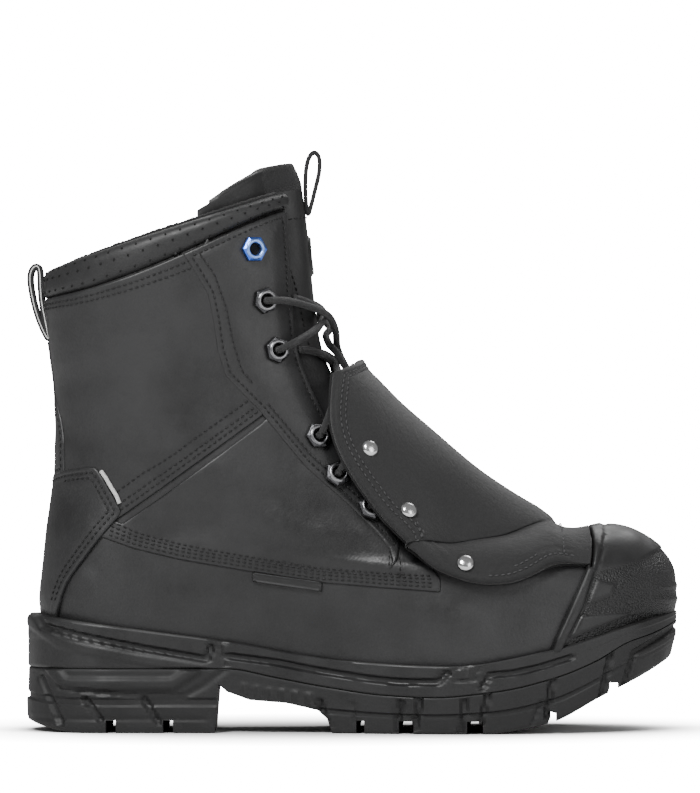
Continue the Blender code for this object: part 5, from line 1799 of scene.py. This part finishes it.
def web_loop(name, line, width, thickness, node, edges):
    """Webbing sewn into a closed loop, with a line of another material along its edges."""
    closed = np.array(line + line[:1])
    x, z = in_side_view(closed[:, 0], closed[:, 1])
    around = np.stack([x, np.zeros(len(x)), z], axis=-1)
    ring = rounded(around[:-1], 3, closed=True)
    along = unit(np.roll(ring, -1, axis=0) - np.roll(ring, 1, axis=0))
    out = np.cross(along, (0, 1, 0))
    half_w, half_t = width / 2, thickness / 2
    section = [(-half_t, -half_w + 0.0004), (-half_t * 0.15, -half_w)]
    section += [(half_t * 0.2, -half_w), (half_t, -half_w + 0.0004)]
    section += [(half_t, share) for share in np.linspace(-half_w + 0.0012, half_w - 0.0012, 7)]
    section += [(a, -b) for a, b in section[3::-1]]
    section += [(-half_t, share) for share in np.linspace(half_w - 0.0012, -half_w + 0.0012, 7)]
    section.append(section[0])
    section = np.array(section)
    points = ring[:, None] + out[:, None] * section[None, :, :1] + np.array((0, 1, 0)) * section[None, :, 1:]
    points = np.concatenate([points, points[:1]])
    run = length_of(np.concatenate([ring, ring[:1]]))
    flat = np.stack(np.broadcast_arrays(run[:, None], section[None, :, 1] + section[None, :, 0]), axis=-1)
    mesh = grid_mesh(name, points, flat)
    settle(mesh, 1e-6)
    band = object_of(name, mesh, webbing, edges, angle=50)
    for face in mesh.polygons:
        if abs(face.center.y) > half_w - 0.0001:
            face.material_index = 1
    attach(band, "root")
    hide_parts(node)


web_loop("heel_pull", HEEL_LOOP, 0.016, 0.0028, "heel_loop", reflective)
web_loop("tongue_pull", TONGUE_LOOP, 0.009, 0.0021, "tongue_loop", webbing)


PIPING = ((103, 471), (108, 478), (113, 487), (118, 495), (121, 503))


def make_piping():
    for side, side_name in SIDES:
        line = side_line(PIPING, side)
        points, out = on_last(dense(line[:, 0], line[:, 1], 0.8), 0.0019)
        mesh = tube_grid("piping_" + side_name, points, out, 0.0010, 10)
        piece = object_of("piping_" + side_name, mesh, reflective)
        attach(piece, "root")
        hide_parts("reflective_piping_" + side_name)


make_piping()

TAG = ((253, 571), (323, 580.5), (322, 591), (252, 581))


def make_tag():
    outline = side_line(TAG + TAG[:1], LATERAL)[:-1]

    def top(points, distance, apart):
        rim = 0.0017 + 0.0003 * (1 - ease((distance - 0.0007) / 0.0004))
        return rim * edge_profile(distance, 0.0004)

    def bottom(points, distance, apart):
        return UNDER * edge_profile(distance, 0.0004)

    tag = lay_sheet("tag_rubber", outline, top, bottom, rubber, rings=(0.0002, 0.0004, 0.0007, 0.0011), step=1.2)
    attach(tag, "root")
    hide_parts("side_tag")


make_tag()

# Sole

SIDE_LEDGE = 0.0048
HEEL_LEDGE = 0.0097
TOE_LEDGE = 0.0087
TREAD_DEPTH = 0.0062
CHANNEL_WIDTH = 0.011
CHANNELS = ((0.045, 0.270), (0.49, 0.90))
RAND_HEEL = 0.93  # share of the heel's ledge that the rand stands out
CHEVRON = 0.007
INSOLE = 0.0045
PARTING = (
    (0.00, 1.141), (0.14, 1.141), (0.31, 1.141), (0.385, 0.985), (0.46, 0.819), (0.55, 0.680), (0.62, 0.645),
    (0.72, 0.749), (0.81, 0.993), (0.87, 1.272), (0.92, 1.603), (0.96, 1.760), (1.00, 1.969),
)
UNDERSIDE = (
    (0.00, 0.20), (0.03, 0.10), (0.07, 0.0), (0.70, 0.0), (0.80, 0.20), (0.88, 0.68), (0.94, 1.03), (1.00, 1.42),
)
ARCH = (
    (0.290, -0.130), (0.297, -0.014), (0.310, -0.030), (0.345, -0.047), (0.400, -0.053), (0.448, -0.068),
    (0.462, -0.085), (0.474, -0.130),
)
HEEL_GROOVES = ((0.119, 0.019), (0.206, 0.019))
FORE_GROOVES = ((0.499, 0.016), (0.569, 0.026), (0.674, 0.028), (0.790, 0.016), (0.882, 0.018))
SOLE_SIDE = (
    (0.00, 0.62, 0.70, 0.35), (0.02, 0.80, 0.90, 0.58), (0.08, 0.90, 0.97, 0.70), (0.40, 1.00, 1.00, 0.86),
    (0.44, 0.84, 0.84, 0.90), (0.52, 0.84, 0.84, 0.92), (0.56, 1.08, 0.93, 0.97), (0.97, 1.10, 0.90, 1.00),
    (0.99, 1.06, 0.86, 1.00), (1.00, 0.96, 0.82, 0.98),
)
# The rand's side: height share, and how far out it stands
RAND_SIDE = ((0.00, 0.95), (0.03, 1.0), (0.55, 1.0), (0.60, 1.02), (0.95, 1.0), (1.00, 0.86))
# Lines moulded into the side, in the view's pixels: places, how far they stand out, half width
SOLE_LINES = (
    (((30, 718), (205, 718)), -0.0005, 0.0009),
    (((52, 668), (66, 683), (173, 683), (196, 668), (212, 650), (226, 640)), 0.0016, 0.0024),
    (((60, 687), (127, 694), (185, 695), (204, 685), (226, 668)), -0.0009, 0.0012),
    (((41, 678), (61, 722)), -0.0018, 0.0014), (((86, 698), (101, 718)), -0.0016, 0.0014),
    (((145, 698), (159, 721)), -0.0016, 0.0014), (((328, 724), (320, 700)), -0.0018, 0.0013),
    (((358, 728), (352, 702)), -0.0008, 0.0010), (((396, 732), (400, 700)), -0.0018, 0.0013),
    (((414, 726), (419, 697)), -0.0018, 0.0013), (((460, 732), (464, 699)), -0.0018, 0.0013),
    (((480, 721), (487, 693)), -0.0018, 0.0013), (((531, 722), (540, 700), (549, 716)), -0.0009, 0.0010),
    (((546, 714), (552, 676)), -0.0018, 0.0013), (((600, 697), (610, 655)), -0.0018, 0.0013),
    (((622, 690), (634, 652), (677, 628)), -0.0018, 0.0013),
    (((245, 685), (248, 700)), 0.0010, 0.0014), (((258, 687), (261, 702)), 0.0010, 0.0014),
    (((271, 689), (274, 704)), 0.0010, 0.0014), (((284, 690), (287, 706)), 0.0010, 0.0014),
    (((297, 692), (300, 708)), 0.0010, 0.0014), (((310, 694), (313, 710)), 0.0010, 0.0014),
)
MIDSOLE_LINES = (
    (((34, 612), (43, 626), (81, 635), (142, 647), (207, 658), (212, 646)), -0.0019, 0.0014),
    (((230, 655), (276, 661), (322, 670), (368, 677), (398, 680), (437, 680), (446, 671)), -0.0019, 0.0014),
    (((481, 686), (489, 673), (512, 671), (537, 666), (570, 656)), -0.0017, 0.0013),
    (((456, 666), (469, 665), (468, 678), (456, 679), (456, 666)), -0.0008, 0.0008),
    (((473, 679), (478, 666)), -0.0008, 0.0008),
    (((226, 634), (221, 648), (226, 664)), -0.0011, 0.0010),
    (((28, 622), (60, 643), (130, 657), (205, 668)), 0.0006, 0.0020),
)


def sole_place(u, side_out, heel_out, toe_out):
    """Points round the upper's bottom edge, moved out by the given widths at the sides, the heel and the toe."""
    edge = surface(u, np.zeros_like(u))
    before, after = surface(wrap(u - 0.01), np.zeros_like(u)), surface(wrap(u + 0.01), np.zeros_like(u))
    outward = np.stack([before[..., 1] - after[..., 1], after[..., 0] - before[..., 0], 0 * u], axis=-1)
    share = (1 - np.cos(np.pi * np.abs(u))) / 2
    heel, toe = ease((0.16 - share) / 0.16), ease((share - 0.80) / 0.20)
    out = side_out * (1 - heel - toe) + heel_out * heel + toe_out * toe
    return edge + unit(outward) * out[..., None]


def sole_share(points):
    return points[..., 0] / LENGTH + 0.5


def parting(points):
    return BALL_SEAT * through(PARTING, sole_share(points))


def underside(points):
    return TOE_SPRING * through(UNDERSIDE, sole_share(points))


SOLE_COLUMNS = 2 * 280
SOLE_U = np.linspace(-1, 1, SOLE_COLUMNS + 1)[:-1]


def moulded(points, lines):
    """How far moulded lines stand out of each point, by its place in the side view."""
    total = np.zeros(points.shape[:-1])
    flat = points[..., [0, 2]].reshape(-1, 2)
    for pixels, depth, width in lines:
        line = to_metres(pixels)
        near = ease(1.6 - distance_to(flat, line) / width)
        total += (depth * near).reshape(total.shape)
    return total


def ring_solid(name, rings, finish_material, across=10):
    """A closed solid from rings of points, bottom first, its ends laddered from side to side."""
    rings = np.concatenate([rings, rings[:, :1]], axis=1)
    shape = bmesh.new()
    count = SOLE_COLUMNS // 2
    share = np.linspace(0, 1, across + 1)[None, :, None]
    parts = [rings]
    for ring in (rings[0], rings[-1]):
        medial = ring[count:]
        lateral = ring[: count + 1][::-1]
        parts.append(medial[:, None] * (1 - share) + lateral[:, None] * share)
    for part in parts:
        mesh = grid_mesh(name + "_part", part)
        shape.from_mesh(mesh)
        bpy.data.meshes.remove(mesh)
    bmesh.ops.remove_doubles(shape, verts=shape.verts, dist=1e-6)
    bmesh.ops.dissolve_degenerate(shape, edges=shape.edges, dist=1e-6)
    bmesh.ops.recalc_face_normals(shape, faces=shape.faces)
    mesh = bpy.data.meshes.new(name)
    shape.to_mesh(mesh)
    shape.free()
    return object_of(name, mesh, finish_material, angle=42)


def prism(shape, corners, y_low, y_high):
    """Adds a block with the given outline in the side view."""
    face = shape.faces.new([shape.verts.new((x, y_low, z)) for x, z in corners])
    pushed = bmesh.ops.extrude_face_region(shape, geom=[face])
    moved = [item for item in pushed["geom"] if isinstance(item, bmesh.types.BMVert)]
    bmesh.ops.translate(shape, verts=moved, vec=(0, y_high - y_low, 0))


def bent_bar(shape, x_share, width_share, reach, floor, top, draft=0.0006):
    """Adds a bent bar across the tread, a little narrower at its top."""
    middle, half = (x_share - 0.5) * LENGTH, width_share * LENGTH / 2
    outline = [
        (middle - half, -reach), (middle - half + CHEVRON, 0), (middle - half, reach),
        (middle + half, reach), (middle + half + CHEVRON, 0), (middle + half, -reach),
    ]
    face = shape.faces.new([shape.verts.new((x, y, floor)) for x, y in outline])
    pushed = bmesh.ops.extrude_face_region(shape, geom=[face])
    moved = [item for item in pushed["geom"] if isinstance(item, bmesh.types.BMVert)]
    for vert in moved:
        vert.co.z = top
        centre = middle + CHEVRON * (1 - abs(vert.co.y) / reach)
        vert.co.x += draft if vert.co.x < centre else -draft


def cut_with(obj, name, build):
    shape = bmesh.new()
    build(shape)
    bmesh.ops.recalc_face_normals(shape, faces=shape.faces)
    mesh = bpy.data.meshes.new(name)
    shape.to_mesh(mesh)
    shape.free()
    cutter = link(bpy.data.objects.new(name, mesh))
    modifier = obj.modifiers.new(name, "BOOLEAN")
    modifier.operation = "DIFFERENCE"
    modifier.object = cutter
    graph = bpy.context.evaluated_depsgraph_get()
    cut = bpy.data.meshes.new_from_object(obj.evaluated_get(graph))
    obj.modifiers.remove(modifier)
    old = obj.data
    obj.data = cut
    bpy.data.meshes.remove(old)
    bpy.data.objects.remove(cutter)
    cut.shade_smooth()
    cut.set_sharp_from_angle(angle=math.radians(32))


def make_sole():
    rows = np.concatenate([
        np.linspace(0, 0.08, 5), np.linspace(0.08, 0.40, 14)[1:], np.linspace(0.40, 0.56, 9)[1:],
        np.linspace(0.56, 0.97, 16)[1:], (0.99, 1.0),
    ])
    table = np.array(SOLE_SIDE)
    out = [np.interp(rows, table[:, 0], table[:, k]) for k in (1, 2, 3)]
    u, at = np.meshgrid(SOLE_U, rows)
    side, heel, toe = (np.broadcast_to(o[:, None], u.shape) for o in out)
    base = sole_place(u, side * SIDE_LEDGE, heel * HEEL_LEDGE, toe * TOE_LEDGE)
    base[..., 2] = between(underside(base), parting(base), at)
    relief = moulded(base, SOLE_LINES) * ease(at / 0.06) * ease((1 - at) / 0.03)
    points = sole_place(u, side * SIDE_LEDGE + relief, heel * HEEL_LEDGE + relief, toe * TOE_LEDGE + relief)
    points[..., 2] = base[..., 2]
    sole = ring_solid("tread", points, tread_rubber)

    def arch(shape):
        prism(shape, [tuple(float(c) for c in in_side_view(*corner)) for corner in ARCH], -0.12, 0.12)

    cut_with(sole, "arch_cut", arch)
    for number, (x_share, width) in enumerate(HEEL_GROOVES + FORE_GROOVES):
        low = TOE_SPRING * float(through(UNDERSIDE, x_share))
        cut_with(
            sole, f"groove_cut_{number}",
            lambda shape: bent_bar(shape, x_share, width, 0.12, -0.05, low + TREAD_DEPTH),
        )
    for number, (start, end) in enumerate(CHANNELS):
        def channel(shape):
            made = bmesh.ops.create_cube(shape, size=1.0)
            bmesh.ops.scale(shape, verts=made["verts"], vec=((end - start) * LENGTH, CHANNEL_WIDTH, TREAD_DEPTH * 0.9))
            place = (((start + end) / 2 - 0.5) * LENGTH, 0.0, 0.05 * TREAD_DEPTH)
            bmesh.ops.translate(shape, verts=made["verts"], vec=place)
        cut_with(sole, f"channel_cut_{number}", channel)
    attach(sole, "root")
    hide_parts("outsole")

    # Midsole: rows by height from the parting to the rim, then over the rim to the upper
    table = np.array(RAND_SIDE)
    rows = np.concatenate([(0, 0.015), np.linspace(0.03, 0.95, 30), (0.98, 1.0)])
    wide = np.interp(rows, table[:, 0], table[:, 1])
    u, at = np.meshgrid(SOLE_U, rows)
    wide = np.broadcast_to(wide[:, None], u.shape)
    rim = surface(u, np.full_like(u, RIM_LEVEL))[..., 2]
    side_out, heel_out, toe_out = wide * SIDE_LEDGE, wide * HEEL_LEDGE * RAND_HEEL, wide * TOE_LEDGE
    base = sole_place(u, side_out, heel_out, toe_out)
    low = parting(base) + 0.0003
    base[..., 2] = between(low, np.maximum(rim, low + 0.002), at)
    relief = moulded(base, MIDSOLE_LINES) * ease(at / 0.05)
    points = sole_place(u, side_out + relief, heel_out + relief, toe_out + relief)
    points[..., 2] = base[..., 2]
    seat_u = SOLE_U[None]
    top = lifted(seat_u, np.full_like(seat_u, RIM_LEVEL), np.full_like(seat_u, 0.0006))
    under = lifted(seat_u, np.zeros_like(seat_u), np.full_like(seat_u, 0.0005))
    under[..., 2] -= 0.0003
    rings = np.concatenate([points, between(points[-1:], top, 0.5) + (0, 0, 0.0001), top, under])
    rand = ring_solid("rand", rings, rubber)
    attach(rand, "root")
    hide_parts("midsole")

    inside_v = np.linspace(0, 0.38, 4)
    u, v = np.meshgrid(SOLE_U, inside_v)
    bed = lifted(u, v, np.full_like(u, -(WALL + 0.0006)))
    bed[..., 2] = bed[:1, :, 2] + INSOLE * np.array((0, 0.4, 0.85, 1.0))[:, None]
    footbed = ring_solid("footbed", bed, lining, 24)
    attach(footbed, "root")
    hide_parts("insole")


make_sole()


# Floor with a painted contact shadow, and light

SHADOW_REACH = 0.16
PAPER_GLOW = 22.0
WORLD_LIGHT = 0.26

shape = bmesh.new()
bmesh.ops.create_grid(shape, x_segments=2, y_segments=2, size=6.0)
floor_mesh = bpy.data.meshes.new("floor")
shape.to_mesh(floor_mesh)
shape.free()
paper, paper_shader = shader_of("paper")
paper_shader.inputs["Base Color"].default_value = (0.80, 0.80, 0.80, 1)
paper_shader.inputs["Roughness"].default_value = 0.85
paper_shader.inputs["Emission Color"].default_value = (1, 1, 1, 1)
tree = paper.node_tree
# Seen by the camera the floor glows, dimmed by ambient occlusion near the boot: a painted contact shadow on the floor.
seen = tree.nodes.new("ShaderNodeLightPath").outputs["Is Camera Ray"]
painted_shadow_ao = node(tree, "ShaderNodeAmbientOcclusion", samples=16)
painted_shadow_ao.inputs["Distance"].default_value = SHADOW_REACH
painted_shadow_glow = mapped(tree, painted_shadow_ao.outputs["AO"], 0.35, 1.0, 0.0, 1.0)
painted_shadow_glow = maths(tree, "POWER", painted_shadow_glow, 3.0)
painted_shadow_glow = maths(tree, "MULTIPLY", painted_shadow_glow, PAPER_GLOW)
wire(tree, maths(tree, "MULTIPLY", painted_shadow_glow, seen), paper_shader.inputs["Emission Strength"])
floor = object_of("floor", floor_mesh, paper)

world = bpy.data.worlds.new("studio")
world.use_nodes = True
world.node_tree.nodes["Background"].inputs["Color"].default_value = (1.0, 1.0, 1.0, 1.0)
seen = world.node_tree.nodes.new("ShaderNodeLightPath").outputs["Is Camera Ray"]
glow = mapped(world.node_tree, seen, 0.0, 1.0, WORLD_LIGHT, PAPER_GLOW)
wire(world.node_tree, glow, world.node_tree.nodes["Background"].inputs["Strength"])
bpy.context.scene.world = world
area_light("key", (-0.7, -1.5, 1.7), (0, 0, 0.12), (0.7, 0.7), 62)
area_light("fill", (1.5, -1.5, 0.7), (0, 0, 0.12), (1.0, 1.4), 12)
area_light("rim", (0.3, 1.4, 1.6), (0, 0, 0.15), (1.6, 0.8), 24)
